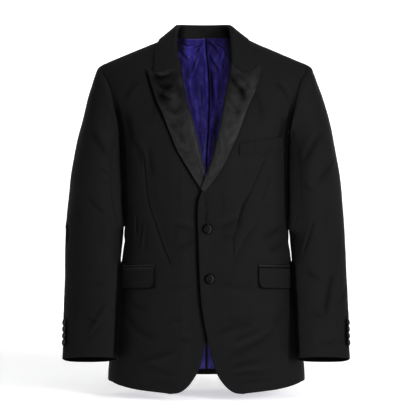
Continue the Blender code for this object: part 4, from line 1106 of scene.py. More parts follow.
def build_lining(hand):
    rows = steps((0.0, 0.0008, 0.055, 0.310, 0.560, 0.7600, 0.7615), (1, 30, 110, 50, 50, 2))
    share = steps((0.0, 0.0030, 0.0080, 0.0160, 0.0400, 0.40, 0.97), (2, 2, 3, 5, 38, 22))[None, :]
    row = rows[:, None]
    top_x = BODY[0][HALF_WIDTH] * np.sin(1.34 * share) ** SECTION_POWER
    sink = -0.0040 + (0.0076 if hand > 0 else 0.0022) * (np.minimum(top_x, 0.075) / 0.06) ** 2
    here = row + (neck_row(hand, top_x) + sink) * np.maximum(1 - row / NECK_FADE, 0.0)
    here = np.maximum(here, 0.0)
    begin = angle_of(hand * at(PLEAT, here) + 0.0008 * smooth(0.600, 0.680, here), here, True)
    angle = begin + (outer_angle(here, True) - begin) * share
    base, normal = form(hand, angle, here), form_normal(hand, angle, here)
    lines = crease_lines(LINING_CREASES[hand], lambda x, z: lifted(hand, x, z, 0.0, True))
    folds = -creases(base, normal, lines)
    lift = folds + drift(base * 1.7, 0.0006)
    across = lengths(base, 1)
    pleat = 1 - smooth(0.34, 0.56, row)
    # Painted shade and light at the pleat: a dark band on the left half's edge, darker too near the
    # top, and on the right half's edge a thin dark line with a painted highlight beside it.
    if hand > 0:
        lift -= pleat * (0.0024 * near(across - 0.0045, 0.0045) - 0.0008)
        shade = 0.97 * (1 - smooth(0.0022, 0.0048, across)) + 0.20 * (1 - smooth(0.10, 0.20, row))
    else:
        lift += pleat * (0.0010 * near(across - 0.0050, 0.0030) - 0.0008)
        shade = 0.60 * near(across, 0.0006) - 0.80 * near(across - 0.0036, 0.0019)
    # Painted light in the middle rows, painted shade at the very top, and painted shade and light
    # in the creases.
    shade = shade * pleat - 0.05 * between(0.140, 0.400, row, 0.050)
    shade = shade + 0.12 * (1 - smooth(0.03, 0.14, row))
    shade = shade + hollows(-folds, 0.0016, 0.85, 0.80)
    # Painted shade under the collar and at its corners, and painted shade at the bottom, most on
    # the left half.
    corner = 0.75 * smooth(0.048, 0.066, top_x) * (1 - smooth(0.02, 0.07, row))
    neck = 0.30 * (1 - smooth(0.0, 0.040, row)) + corner
    neck = neck + (0.35 if hand > 0 else 0.08) * smooth(0.68, 0.72, row)
    # Painted shadow along the lining's middle edge low down, and the fronts' painted shadow over
    # the lining above the bottom opening.
    seam = 0.95 * (1 - smooth(0.0014, 0.0040, across)) * smooth(0.60, 0.64, row)
    above = 0.97 * between(0.600, 0.704, row, 0.004) * (1 - smooth(0.030, 0.045, across))
    dark = np.maximum(seam, above)
    shade = np.minimum((shade + neck) * (1 - dark) + dark, 0.97)
    base = base + normal * (np.minimum(lift, 0.0016) - 0.0042)[..., None]
    side = side_of(hand)
    cloth(
        "lining_back_" + side, ["lining_" + side], base, normal, LINING_WALL,
        (0.0005, 0.0008, 0.0005, 0.0005), [LINING], 0.0, None, 0.0, shade,
    )


# ---------------------------------------------------------------- lapels and collar

# depth, outer edge of the lapel
LAPEL_EDGE = {
    1: (
        (0.0742, 0.1200), (0.0880, 0.1203), (0.1290, 0.1082), (0.1540, 0.0965), (0.1790, 0.0865),
        (0.2260, 0.0689), (0.2530, 0.0566), (0.2880, 0.0410), (0.3260, 0.0172), (0.3420, 0.0045),
        (0.3520, -0.0040),
    ),
    -1: (
        (0.0816, 0.1313), (0.0900, 0.1290), (0.1505, 0.1097), (0.1726, 0.0993), (0.2150, 0.0815),
        (0.2596, 0.0634), (0.3166, 0.0306), (0.3440, 0.0125),
    ),
}
LAPEL_TOP = {1: 0.0650, -1: 0.0690}
LAPEL_END = {1: 0.3475, -1: 0.3140}
LAPEL_TIP = {1: 0.0742, -1: 0.0816}
LAPEL_FOOT = {1: 0.3520, -1: 0.3430}
LAPEL_FULL_WIDTH = 0.030
LAPEL_LEAST_ROLL = 0.8
GORGE_GAP = 0.0007
# share of the way from roll to peak, dip of the gorge seam under the straight line
GORGE_DIP = {
    1: (
        (-0.100, 0.0000), (-0.063, 0.0009), (-0.043, 0.0030), (0.030, 0.0127), (0.100, 0.0169),
        (0.205, 0.0212), (0.435, 0.0222), (0.666, 0.0144), (0.800, 0.0084), (0.920, 0.0024),
        (1.000, 0.0000),
    ),
    -1: (
        (-0.100, -0.0060), (-0.055, -0.0046), (0.000, -0.0020), (0.100, 0.0026), (0.200, 0.0070),
        (0.345, 0.0124), (0.524, 0.0147), (0.747, 0.0116), (0.926, 0.0040), (1.000, 0.0000),
    ),
}
# distance from the front's edge and lift, then shares of the width and their lifts
ROLL = ((-0.0026, -0.0014), (-0.0038, 0.0010), (-0.0026, 0.0038), (0.0018, 0.0056))
LAY_SHARES = (0.03, 0.20, 0.40, 0.60, 0.80, 1.00)
LAY = {
    1: (LAY_SHARES, (0.0056, 0.0060, 0.0060, 0.0052, 0.0044, 0.0036)),
    -1: (LAY_SHARES, (0.0056, 0.0062, 0.0062, 0.0058, 0.0052, 0.0046)),
}

# Puckers of the satin: (x, z) on the lapel
LAPEL_CREASES = {
    1: (
        (1.5, 5.5, -1, (48, -106), (62, -118), (74, -130), (83, -160)),
        (0.9, 4.5, 1, (68, -100), (84, -112), (94, -132)),
        (1.0, 4.0, -1, (74, -88), (90, -94), (104, -92)),
        (1.0, 6.0, 1, (46, -146), (60, -166), (66, -196)),
        (0.8, 6.0, -1, (70, -168), (66, -192), (56, -214)),
        (-0.8, 7.0, 0, (40, -186), (46, -214), (40, -246)),
        (0.7, 5.0, 1, (34, -238), (42, -256), (38, -280)),
        (0.6, 5.0, 0, (24, -280), (24, -300), (16, -318)),
        (-0.7, 6.0, 0, (92, -112), (98, -126), (94, -142)),
    ),
    -1: (
        (1.2, 5.0, 1, (118, -92), (98, -102), (80, -98), (64, -86)),
        (1.1, 5.0, -1, (104, -118), (84, -126), (64, -118)),
        (1.0, 5.0, 1, (100, -140), (82, -152), (60, -150)),
        (0.9, 5.5, -1, (90, -168), (72, -180), (50, -176)),
        (-0.9, 7.0, 0, (72, -134), (66, -160), (62, -190)),
        (0.8, 5.5, 1, (80, -202), (62, -212), (44, -206)),
        (0.7, 5.0, -1, (62, -232), (46, -238), (32, -230)),
        (0.6, 5.0, 0, (46, -262), (34, -268), (24, -258)),
        (-0.6, 6.0, 0, (44, -214), (38, -244), (28, -276)),
    ),
}


# Painted highlights and shade of the satin's sheen: x, z, half width, half height, shade, which is
# below 0 for a highlight
LAPEL_PAINTED_SHEEN = {
    1: (
        (98, -112, 13, 8, -0.55), (99, -134, 9, 9, -0.45), (80, -132, 8, 15, 0.55),
        (62, -104, 11, 9, 0.60), (48, -92, 6, 8, 0.4), (58, -150, 14, 14, -0.3),
        (70, -176, 7, 10, 0.35), (50, -206, 9, 12, 0.35), (56, -236, 7, 9, -0.4),
        (36, -262, 8, 10, 0.25), (24, -290, 7, 10, -0.2),
    ),
    -1: (
        (86, -126, 14, 16, 0.50), (104, -104, 14, 8, 0.42), (94, -92, 8, 5, -0.4),
        (66, -149, 10, 9, -0.35), (60, -176, 14, 12, 0.32), (98, -146, 9, 14, 0.4),
        (44, -206, 8, 10, -0.3), (70, -212, 8, 12, 0.3), (40, -244, 10, 14, 0.2),
        (56, -112, 6, 12, -0.4), (50, -92, 6, 8, 0.5),
    ),
}


def patches(listed, x, z):
    """Painted shade of soft patches laid over a piece, and painted light where their shade is below
    0.
    """
    total = 0
    for px, pz, wide, tall, shade in listed:
        across, up = (x - px / 1000) * 1000 / wide, (z - pz / 1000) * 1000 / tall
        total = total + shade * np.exp(-(across**2) - up**2)
    return total


def lapel_plan(hand, share, fall):
    """Place on the front at a share of the lapel's width and of its length."""
    roll_depth = LAPEL_TOP[hand] + (LAPEL_END[hand] - LAPEL_TOP[hand]) * fall
    edge_depth = LAPEL_TIP[hand] + (LAPEL_FOOT[hand] - LAPEL_TIP[hand]) * fall
    roll_x = at(FRONT_EDGE[hand], roll_depth)
    edge_x = at(LAPEL_EDGE[hand], edge_depth)
    dip = at(GORGE_DIP[hand], share) * (1 - fall) ** 3
    z = -(roll_depth + (edge_depth - roll_depth) * share) - dip
    return roll_x + (edge_x - roll_x) * share, z


def lapel_middle(hand, falls, shares):
    """Mid-wall grid of a lapel, from inside the roll to its outer edge."""
    roll_x, _ = lapel_plan(hand, 0.0, falls)
    width = lapel_plan(hand, 1.0, falls)[0] - roll_x
    scale = np.minimum(width / LAPEL_FULL_WIDTH, 1.0)
    net = []
    for distance, lift in ROLL:
        reach = distance * np.maximum(scale, LAPEL_LEAST_ROLL)
        _, z = lapel_plan(hand, reach / width, falls)
        net.append(lifted(hand, roll_x + reach, z, lift))
    rolled = ROLL[-1][0] * np.maximum(scale, LAPEL_LEAST_ROLL) / width
    for k in range(1, 11):
        share = rolled + (1 - rolled) * k / 10
        x, z = lapel_plan(hand, share, falls)
        low = LAY[1][1][-1]
        net.append(lifted(hand, x, z, low + (np.interp(share, *LAY[hand]) - low) * scale))
    return np.moveaxis(spline(np.array(net), shares), 0, 1)


def fine_ends(count, first, last):
    """Shares from 0 to 1, close together at both ends, whose widths are given."""
    starts = [first * k for k in (0.0, 0.12, 0.35, 1.0)]
    ends = [1 - last * k for k in (1.0, 0.35, 0.12, 0.0)]
    return np.concatenate((starts[:-1], np.linspace(starts[-1], ends[0], count), ends[1:]))


def build_lapel(hand):
    falls = fine_ends(170, 0.006, 0.006)
    middle = lapel_middle(hand, falls, fine_ends(46, 0.03, 0.03))
    normal = grid_normals(middle)
    base = middle + normal * (LAPEL_WALL / 2)
    lines = crease_lines(LAPEL_CREASES[hand], lambda x, z: lifted(hand, x, z, 0.0056))
    across = lengths(base, 1)
    calm = smooth(0.008, 0.020, across) * smooth(0.0, 0.006, across[:, -1:] - across)
    folds = LAPEL_STRENGTH * creases(base, normal, lines) * calm
    depth = -base[..., 2]
    # Painted shade on the lapel's upper part, where the satin reflects little light, then painted
    # highlights and shade of the sheen.
    top = (0.35 if hand > 0 else 0.55) * (1 - smooth(0.110, 0.225, depth))
    shade = hollows(folds, 0.0006, 0.34, 0.42) + top
    shade = shade + patches(LAPEL_PAINTED_SHEEN[hand], hand * base[..., 0], base[..., 2])
    # Painted shadow of the left lapel's roll edge on the right lapel.
    if hand < 0:
        gap = at(FRONT_EDGE[1], depth) - base[..., 0]
        shade = np.maximum(shade, 0.90 * near(gap, 0.0050) * smooth(0.296, 0.306, depth))
    cloth(
        "lapel_" + side_of(hand) + "_satin", ["lapel_" + side_of(hand)], base, normal,
        LAPEL_WALL, (0.0013, 0.0013, 0.0010, 0.0015), [SATIN],
        folds + drift(base * 1.6, 0.0002) * calm, None, 0.0, shade,
    )


# fold x y z, then outer edge x z and lift, from the middle of the back to the gorge
COLLAR = (
    (0.0000, 0.0610, 0.0305, 0.0000, -0.0130, 0.0036),
    (0.0230, 0.0590, 0.0305, 0.0300, -0.0135, 0.0036),
    (0.0410, 0.0510, 0.0300, 0.0580, -0.0135, 0.0036),
    (0.0545, 0.0350, 0.0285, 0.0830, -0.0140, 0.0038),
    (0.0610, 0.0130, 0.0240, 0.0970, -0.0100, 0.0036),
    (0.0625, -0.0110, 0.0125, 0.1005, -0.0165, 0.0036),
    (0.0622, -0.0290, -0.0035, 0.1050, -0.0300, 0.0036),
    (0.0620, -0.0490, -0.0220, 0.1085, -0.0460, 0.0036),
    (0.0620, -0.0650, -0.0430, 0.1095, -0.0620, 0.0036),
    (0.0626, -0.0765, -0.0640, 0.1092, -0.0785, 0.0036),
)
COLLAR_NECK_DEPTHS = (0.006, 0.016, 0.031, 0.048, 0.0640)
COLLAR_FOLD = 0.0034
BACK_STATIONS = 5


def collar_neck_point(hand, station):
    """Mid-wall point where the collar stands on the neck seam."""
    if station < BACK_STATIONS:
        x = neck_half(hand) * min(station / (BACK_STATIONS - 1), 1.0) ** 0.9
        row = neck_row(hand, x)
        angle = angle_of(x, row, True)
        raised = np.array((-hand * 0.0010, 0.0, 0.0012 if row > 0 else 0.0016))
        return form(hand, angle, row) - form_normal(hand, angle, row) * (BACK_WALL / 2) + raised
    depth = COLLAR_NECK_DEPTHS[station - BACK_STATIONS]
    x = at(FRONT_EDGE[hand], depth)
    return lifted(hand, x + ROLL[0][0] - 0.0006, -depth, ROLL[0][1])


def standing_section(hand, station):
    """Collar across a station where it stands: up the stand, over the fold, down the fall."""
    fold_x, fold_y, fold_z, edge_x, edge_z, edge_lift = COLLAR[station]
    middle = hand * NECK_MIDDLE
    base = collar_neck_point(hand, station)
    fold = np.array((hand * (fold_x + middle), fold_y, fold_z))
    edge = lifted(hand, edge_x + middle, edge_z, edge_lift, station < BACK_STATIONS)
    up = np.array((0.0, 0.0, 1.0))
    out = edge - fold
    out = unit(out - up * (out @ up))
    before = fold - out * COLLAR_FOLD - up * COLLAR_FOLD * 0.9
    after = fold + out * COLLAR_FOLD * 1.2 - up * COLLAR_FOLD * 0.5
    points = [base, (base + before) / 2, before, fold, after]
    return points + [after + (edge - after) * k / 9 for k in range(1, 10)]


def gorge_height(hand, x):
    """Height of the collar's front end at x, just over the lapel's top line."""
    start, _ = lapel_plan(hand, 0.0, 0.0)
    end, _ = lapel_plan(hand, 1.0, 0.0)
    return lapel_plan(hand, (x - start) / (end - start), 0.0)[1] + GORGE_GAP


def rolling_section(hand, station):
    """Collar across a station where it lies on the front and rolls as the lapel does."""
    gorge = smooth(6, 9, station)
    roll_x, _ = lapel_plan(hand, 0.0, 0.0)
    depth = COLLAR_NECK_DEPTHS[station - BACK_STATIONS]
    depth = depth - (gorge_height(hand, roll_x + ROLL[0][0]) + depth) * gorge
    start = at(FRONT_EDGE[hand], depth)
    edge_x = COLLAR[station][3] + hand * NECK_MIDDLE
    places = [(start + distance, -depth, lift) for distance, lift in ROLL]
    rolled = ROLL[-1][0] / (edge_x - start)
    for k in range(1, 11):
        share = rolled + (1 - rolled) * k / 10
        across = start + (edge_x - start) * share
        lift = np.interp(share, *LAY[1])
        places.append((across, -depth + (COLLAR[station][4] + depth) * share, lift))
    return [
        lifted(hand, x, z + (gorge_height(hand, x) - z) * gorge, lift) for x, z, lift in places
    ]


def collar_section(hand, station):
    points = np.array(standing_section(hand, station))
    if station < BACK_STATIONS:
        return points
    share = smooth(5, 9, station)
    return points + (np.array(rolling_section(hand, station)) - points) * share


COLLAR_CREASES = (
    (0.7, 6.0, 1, (40, 72, 18), (52, 76, 6), (60, 80, -6)),
    (0.6, 6.0, 0, (-70, 40, 14), (-84, 46, 2), (-92, 50, -10)),
    (0.7, 7.0, -1, (74, -40, -12), (84, -52, -26), (90, -62, -40)),
    (0.7, 7.0, 1, (-80, -44, -14), (-88, -56, -30), (-92, -64, -46)),
    (0.5, 6.0, 0, (4, 84, 22), (2, 92, 8), (6, 98, -6)),
)


def build_collar():
    stations = range(len(COLLAR))
    right = [collar_section(-1, s) for s in reversed(stations)]
    left = [collar_section(1, s) for s in stations]
    net = np.array(right[:-1] + [(right[-1] + left[0]) / 2] + left[1:])
    net = spline(net, fine_ends(190, 0.006, 0.006))
    middle = np.moveaxis(spline(np.moveaxis(net, 1, 0), fine_ends(50, 0.03, 0.03)), 0, 1)
    normal = grid_normals(middle)
    if (normal[:, 30, 1] * middle[:, 30, 1]).mean() < 0:
        normal = -normal
    base = middle + normal * (COLLAR_WALL / 2)
    lines = []
    for depth, width, lip, *spots in COLLAR_CREASES:
        places = spline(np.array(spots, float) / 1000.0, np.linspace(0, 1, 7))
        lines.append((places, width / 1000.0, depth / 1000.0, lip))
    lift = creases(base, normal, lines) + drift(base * 1.5, 0.0003)
    x, y, z = np.moveaxis(middle, -1, 0)
    # Painted shade in the corners of the collar's inside, at both ends of its band.
    inside = smooth(0.44, 0.36, np.linspace(0, 1, base.shape[1]))[None, :] * (z < 0.026)
    shade = 0.85 * smooth(0.038, 0.056, np.abs(x + 0.006)) * inside * smooth(-0.02, 0.01, y)
    cloth(
        "collar_wool", ["collar"], base, normal, COLLAR_WALL,
        (0.0013, 0.0013, 0.0010, 0.0015), [WOOL], lift, None, 0.0, shade,
    )


# ---------------------------------------------------------------- sleeves

# outer z, outer x of the right and left arm, inner z, inner x, half depth, middle y,
# shear and tilt in degrees, for rings 0 to 14 from armhole to cuff
OUTER_Z, OUTER_RIGHT, OUTER_LEFT, INNER_Z, INNER_X, ARM_DEPTH, MIDDLE_Y, SHEAR, TILT = range(1, 10)
SLEEVE = tuple(
    (ring,) + values
    for ring, values in enumerate((
        (-0.0640, 0.2330, 0.2250, -0.2400, 0.1900, 0.0570, 0.000, 0, 0),
        (-0.0735, 0.2430, 0.2362, -0.2425, 0.1925, 0.0600, 0.000, 0, 0),
        (-0.0850, 0.2495, 0.2422, -0.2500, 0.1906, 0.0620, 0.000, 0, 0),
        (-0.1080, 0.2565, 0.2504, -0.2650, 0.1894, 0.0645, 0.000, 0, 0),
        (-0.1400, 0.2666, 0.2618, -0.2880, 0.1884, 0.0670, 0.001, 0, 0),
        (-0.1870, 0.2780, 0.2757, -0.3160, 0.1873, 0.0685, 0.001, 0, 0),
        (-0.2380, 0.2917, 0.2872, -0.3480, 0.1866, 0.0690, 0.003, 4, 0),
        (-0.2950, 0.3035, 0.2984, -0.3840, 0.1858, 0.0675, 0.005, 8, 0),
        (-0.3500, 0.3104, 0.3060, -0.4220, 0.1848, 0.0650, 0.006, 13, 0),
        (-0.4100, 0.3170, 0.3109, -0.4620, 0.1872, 0.0610, 0.003, 18, 2),
        (-0.4750, 0.3188, 0.3138, -0.5130, 0.1912, 0.0555, -0.012, 23, 6),
        (-0.5450, 0.3182, 0.3153, -0.5700, 0.1930, 0.0505, -0.031, 27, 10),
        (-0.6120, 0.3186, 0.3170, -0.6270, 0.1950, 0.0455, -0.050, 28, 12),
        (-0.6690, 0.3175, 0.3160, -0.6765, 0.1968, 0.0410, -0.067, 28, 13),
        (-0.7172, 0.3184, 0.3174, -0.7210, 0.1985, 0.0380, -0.080, 28, 13),
    ))
)
RINGS = 14
ARMHOLE_ROWS = (0.000, 0.006, 0.016, 0.032, 0.054, 0.082, 0.112, 0.142, 0.172, 0.200, JOIN)
LOOP_STEPS = 4
FORE_ANGLE = math.radians(122.63)
HIND_ANGLE = math.radians(292.45)
FORE_TURN = math.radians(45)
HIND_TURN = math.radians(80)

# (angle from the outermost line, z): 90 degrees is the front and -90 the back
SLEEVE_CREASES = {
    1: (
        (1.7, 3.2, 1, (95, -408), (104, -430), (114, -456), (132, -498)),
        (1.7, 7.0, -1, (60, -522), (70, -556), (80, -596), (88, -640)),
        (0.6, 6.0, -1, (66, -384), (72, -416), (70, -448)),
        (0.5, 5.0, 1, (40, -452), (52, -490), (56, -530)),
        (1.1, 5.5, 0, (126, -520), (106, -538), (88, -548)),
        (1.5, 9.0, 1, (52, -214), (84, -250), (122, -300)),
        (1.0, 7.0, 0, (30, -270), (62, -306), (100, -346)),
        (0.9, 5.0, -1, (120, -330), (100, -350), (84, -352)),
        (0.9, 6.0, 1, (20, -560), (40, -580), (54, -606)),
        (0.8, 5.0, 0, (118, -606), (100, -622), (82, -626)),
        (0.7, 5.0, -1, (60, -672), (84, -682), (106, -676)),
        (2.0, 7.0, 1, (-30, -446), (-76, -432), (-124, -452)),
        (1.7, 6.0, -1, (-36, -484), (-84, -474), (-128, -492)),
        (1.2, 6.0, 0, (-20, -418), (-58, -402), (-96, -400)),
        (1.1, 8.0, 0, (-60, -260), (-96, -310), (-120, -360)),
        (1.0, 8.0, 1, (-40, -560), (-70, -600), (-90, -650)),
        (0.9, 7.0, 0, (164, -340), (170, -400), (164, -450)),
        (0.9, 6.0, 1, (150, -560), (160, -600), (152, -650)),
    ),
    -1: (
        (1.8, 5.0, 1, (6, -410), (26, -430), (30, -452), (15, -482)),
        (0.5, 6.0, -1, (108, -404), (110, -444), (104, -484)),
        (0.6, 5.0, 1, (86, -548), (104, -553), (126, -562)),
        (0.7, 3.8, 1, (84, -300), (102, -304), (128, -318)),
        (0.5, 3.6, -1, (90, -320), (110, -328), (130, -340)),
        (0.9, 4.6, 1, (70, -356), (84, -376), (104, -396), (116, -410)),
        (0.5, 4.5, -1, (50, -372), (62, -404), (66, -440)),
        (1.4, 9.0, -1, (56, -208), (88, -246), (124, -286)),
        (0.9, 4.6, 1, (80, -668), (96, -640), (110, -614), (136, -580)),
        (0.8, 4.0, -1, (76, -622), (96, -632), (120, -642)),
        (0.6, 5.0, 1, (74, -686), (100, -660), (130, -634)),
        (0.5, 5.5, 0, (56, -566), (62, -606), (58, -650)),
        (1.9, 7.0, -1, (-28, -440), (-72, -428), (-118, -444)),
        (1.6, 6.0, 1, (-34, -476), (-80, -470), (-130, -484)),
        (1.1, 6.0, 0, (-24, -404), (-60, -392), (-100, -404)),
        (1.1, 8.0, 0, (-56, -250), (-92, -304), (-124, -350)),
        (1.0, 8.0, -1, (-44, -570), (-76, -606), (-88, -656)),
        (0.9, 7.0, 0, (160, -330), (168, -396), (166, -446)),
        (0.9, 6.0, -1, (154, -556), (162, -604), (150, -646)),
    ),
}


def armhole_loop(hand):
    """Points and body normals round the armhole: top, front, bottom, back."""
    rows = steps(ARMHOLE_ROWS, [LOOP_STEPS] * 10)
    front = np.stack((outer_angle(rows, False), rows), -1)
    share = np.linspace(0, 1, 6 * LOOP_STEPS + 1)[1:-1]
    low = JOIN + 0.015 * (1 - (2 * share - 1) ** 2)
    start, end = outer_angle(low, False), outer_angle(low, True)
    under = np.stack((start + (end - start) * share, low), -1)
    back = np.stack((outer_angle(rows, True), rows), -1)[:0:-1]
    places = np.concatenate((front, under, back))
    return form(hand, places[:, 0], places[:, 1]), form_normal(hand, places[:, 0], places[:, 1])


def sleeve_ring(hand, ring, angle):
    """Point of the sleeve's plain form; angle 0 is outermost and 90 degrees the front."""
    ring, angle = np.broadcast_arrays(np.asarray(ring, float), np.asarray(angle, float))
    zero = np.zeros_like(ring)
    outer_x = at(SLEEVE, ring, OUTER_LEFT if hand > 0 else OUTER_RIGHT)
    outer = np.stack((outer_x, zero, at(SLEEVE, ring, OUTER_Z)), -1)
    inner_x, inner_z = at(SLEEVE, ring, INNER_X), at(SLEEVE, ring, INNER_Z)
    inner = np.stack((inner_x - hand * lean(inner_x, -inner_z), zero, inner_z), -1)
    tilt = np.radians(at(SLEEVE, ring, TILT))
    forward = np.stack((zero, -np.cos(tilt), np.sin(tilt)), -1)
    forward = forward * at(SLEEVE, ring, ARM_DEPTH)[..., None]
    centre = (outer + inner) / 2 + np.stack((zero, at(SLEEVE, ring, MIDDLE_Y), zero), -1)
    shear = np.radians(at(SLEEVE, ring, SHEAR))
    point = centre + (outer - inner) / 2 * np.cos(angle)[..., None]
    point = point + forward * np.sin(angle - shear)[..., None]
    return point * np.array((hand, 1.0, 1.0))


def ring_at(hand, angle, z):
    """Ring whose point at this angle lies at height z."""
    low, high = np.zeros_like(z), np.full_like(z, float(RINGS))
    for _ in range(24):
        half = (low + high) / 2
        under = sleeve_ring(hand, half, angle)[..., 2] < z
        low, high = np.where(under, low, half), np.where(under, half, high)
    return (low + high) / 2


# room left between a sleeve and the body, and how far the rim behind each cuff hangs lower
ARM_GAP = 0.0014
CUFF_DROP = 0.0026


def on_sleeve(hand, angle, z):
    """Point of the sleeve's plain form at an angle and a height."""
    return sleeve_ring(hand, ring_at(hand, angle, z), angle)


def against_body(hand, points, angle):
    """How far the inner front of a sleeve is pushed in to rest beside the body."""
    x, y, z = np.moveaxis(points, -1, 0)
    body = form(hand, side_angle(y, -z), -z)[..., 0]
    tighter = (0.0008 if hand > 0 else 0.0) * between(0.280, 0.325, -z, 0.010)
    free = np.maximum(hand * (x - body) - ARM_GAP + tighter, 0.0)
    turn = np.mod(np.degrees(angle), 360)
    close = smooth(122, 150, turn) * (1 - smooth(190, 215, turn))
    end = -0.424 if hand < 0 else -0.432
    high = smooth(-0.215, -0.250, z) * (1 - smooth(end, end - 0.016, z))
    low = smooth(-0.499, -0.515, z)
    reach = 0.0042 + 0.0024 * (1 - smooth(-0.540, -0.600, z))
    return -hand * close * (free * high + np.minimum(free, reach) * low)


def build_sleeve(hand):
    loop, body_normals = armhole_loop(hand)
    top, bottom = sleeve_ring(hand, 0, 0.0), sleeve_ring(hand, 0, math.pi)
    axis = unit(top - bottom)
    rise = (loop - (top + bottom) / 2) @ axis / (np.linalg.norm(top - bottom) / 2)
    angles = np.arctan2(-loop[:, 1] / SLEEVE[0][ARM_DEPTH], rise)
    late = (np.arange(len(angles)) >= 3 * LOOP_STEPS) & (angles <= -1e-6)
    angles = np.where(late, angles + math.tau, angles)
    angles[0] = 0.0
    misfit = loop - sleeve_ring(hand, 0, angles)
    count = len(angles)
    fore = int(np.argmin(np.abs(angles - FORE_ANGLE)))
    hind = int(np.argmin(np.abs(angles - HIND_ANGLE)))
    ring = steps(
        (0, 0.10, 0.30, 1, 2, 3, 4, 5, 9, 13, 13.94, 13.98, 13.992, 14),
        (1, 1, 4, 5, 9, 11, 16, 72, 72, 16, 1, 1, 1),
    )
    turn = smooth(6, RINGS, ring)[:, None]
    even = smooth(0, 5, ring)[:, None]
    fore_angle = angles[fore] + FORE_TURN * turn
    hind_angle = angles[hind] + HIND_TURN * turn
    side = side_of(hand)
    for name, start, end in (("top_sleeve_", hind, count + fore), ("under_sleeve_", fore, hind)):
        columns = np.arange(start, end + 1)
        fine = np.array((0.0, 0.12, 0.35, 0.65, 1.0))
        columns = np.concatenate((start + fine, columns[2:-2], end - fine[::-1]))
        whole = np.append(angles, math.tau)
        wrapped = np.mod(columns, count)
        own = np.interp(wrapped, np.arange(count + 1), whole)
        if start == hind:
            share = (columns - hind) / (count - hind + fore)
            own = np.where(columns < count, own - math.tau, own)
            spread_angle = (hind_angle - math.tau) + (fore_angle - hind_angle + math.tau) * share
        else:
            spread_angle = fore_angle + (hind_angle - fore_angle) * (columns - fore) / (hind - fore)
        angle = own + (spread_angle - own) * even
        index = np.arange(count + 1)
        shift, rim = (
            np.stack([np.interp(wrapped, index, np.append(c, c[0])) for c in listed.T], -1)
            for listed in (misfit, body_normals)
        )
        base = sleeve_ring(hand, ring[:, None], angle) + shift[None] * (1 - even)[..., None]
        base[..., 0] += against_body(hand, base, angle)
        behind = smooth(0.0, 0.8, -np.sin(angle))
        base[..., 2] -= CUFF_DROP * smooth(12.4, RINGS, ring)[:, None] * behind
        normal = unit(hand * np.cross(np.gradient(base, axis=1), np.gradient(base, axis=0)))
        normal[0] = unit(normal[0] + rim)
        normal[1] = unit(normal[1] * 2 + rim)
        lines = crease_lines(
            SLEEVE_CREASES[hand],
            lambda a, z: on_sleeve(hand, np.radians(a * 1000), z),
            SLEEVE_STRENGTH,
        )
        folds = creases(base, normal, lines)
        lift = folds + drift(base, 0.0006) * smooth(0, 2, ring)[:, None]
        shade = np.maximum(arm_shade(hand, base), hollows(folds, 0.0018, 0.45, 0.25))
        # Painted shadow round each cuff button.
        for z in CUFF_BUTTON_HEIGHTS:
            place = on_sleeve(hand, CUFF_BUTTON_ANGLE, np.array(z))
            gap = np.linalg.norm(base - place, axis=-1) - CUFF_BUTTON_RADIUS
            shade = np.maximum(shade, 0.95 * (1 - smooth(0.0018, 0.0050, gap)))
        down, across = lengths(base, 0), lengths(base, 1)
        high = smooth(-0.20, -0.09, base[..., 2])
        lift += high * (0.0016 * near(down - 0.011, 0.008))
        cuff = smooth(11.9, 12.15, ring)[:, None]
        if start == hind:
            lift += 0.0008 * cuff * (1 - smooth(0.010, 0.020, across))
        else:
            from_seam = across[:, -1:] - across
            lift -= 0.0006 * cuff * (1 - smooth(0.010, 0.020, from_seam))
        left = down[-1:] - down
        lift -= 0.0004 * near(left - CUFF_TURN_UP, TURN_UP_WIDTH)
        edge = np.minimum(across, across[:, -1:] - across)
        bare = (left < 0.030) | (edge < 0.006) | (down < 0.006) | ((edge < 0.030) & (cuff > 0))
        cells = np.where(bare[:-1, :-1], 0, 1)
        # The inner face near the cuff takes painted shade.
        cloth(
            "cloth_" + name + side, [name + side], base, normal, SLEEVE_WALL,
            (0.0010, 0.0014, 0.0006, 0.0006), [WOOL, LINING], lift, cells, 0.0, shade,
            0.96 * (left < 0.045),
        )


# ---------------------------------------------------------------- pockets

WELT_X = (0.0720, 0.1660)
WELT_TOP = -0.2468
WELT_RISE = 0.169
WELT_HEIGHT = 0.0255
FLAP_X = 0.1130
FLAP_END = 76
FLAP_TOP = 0.5175
FLAP_HEIGHT = 0.0450
FLAP_SLANT = 0.0050
FLAP_CORNER = 0.0115
JET_HEIGHT = 0.0068
WELT_WALL = 0.0016
FLAP_WALL = 0.0017
JET_WALL = 0.0014
POCKET_LIFT = 0.0028
JET_LIFT = 0.0022
JET_GAP = 0.0006


def build_welt():
    x = steps((WELT_X[0], WELT_X[0] + 0.002, WELT_X[1] - 0.002, WELT_X[1]), (4, 70, 4))[None, :]
    drop = steps((0.0, 0.0016, WELT_HEIGHT - 0.0016, WELT_HEIGHT), (4, 18, 4))[:, None]
    z = WELT_TOP + WELT_RISE * (x - WELT_X[0]) - drop
    x = x + lean(x, row_at(x, z))
    row = row_at(x, z)
    angle = angle_of(x, row)
    base, normal = form(1, angle, row), form_normal(1, angle, row)
    lift = POCKET_LIFT + front_lift(1, base, normal)
    lift -= 0.0006 * near(drop - 0.0012, 0.0010)
    lift += 0.0004 * np.sin(x * 95 + 0.6) * smooth(0.0, 0.020, drop)
    # A dent along a slanted line on the welt, with painted shade in it.
    seam = near(x - 0.1075 - 0.12 * drop, 0.0013) + 0 * lift
    cloth(
        "chest_welt_wool", ["chest_welt"], base, normal, WELT_WALL,
        (0.0010, 0.0008, 0.0008, 0.0008), [WOOL], lift - 0.0004 * seam, None, 0.0, 0.40 * seam,
    )


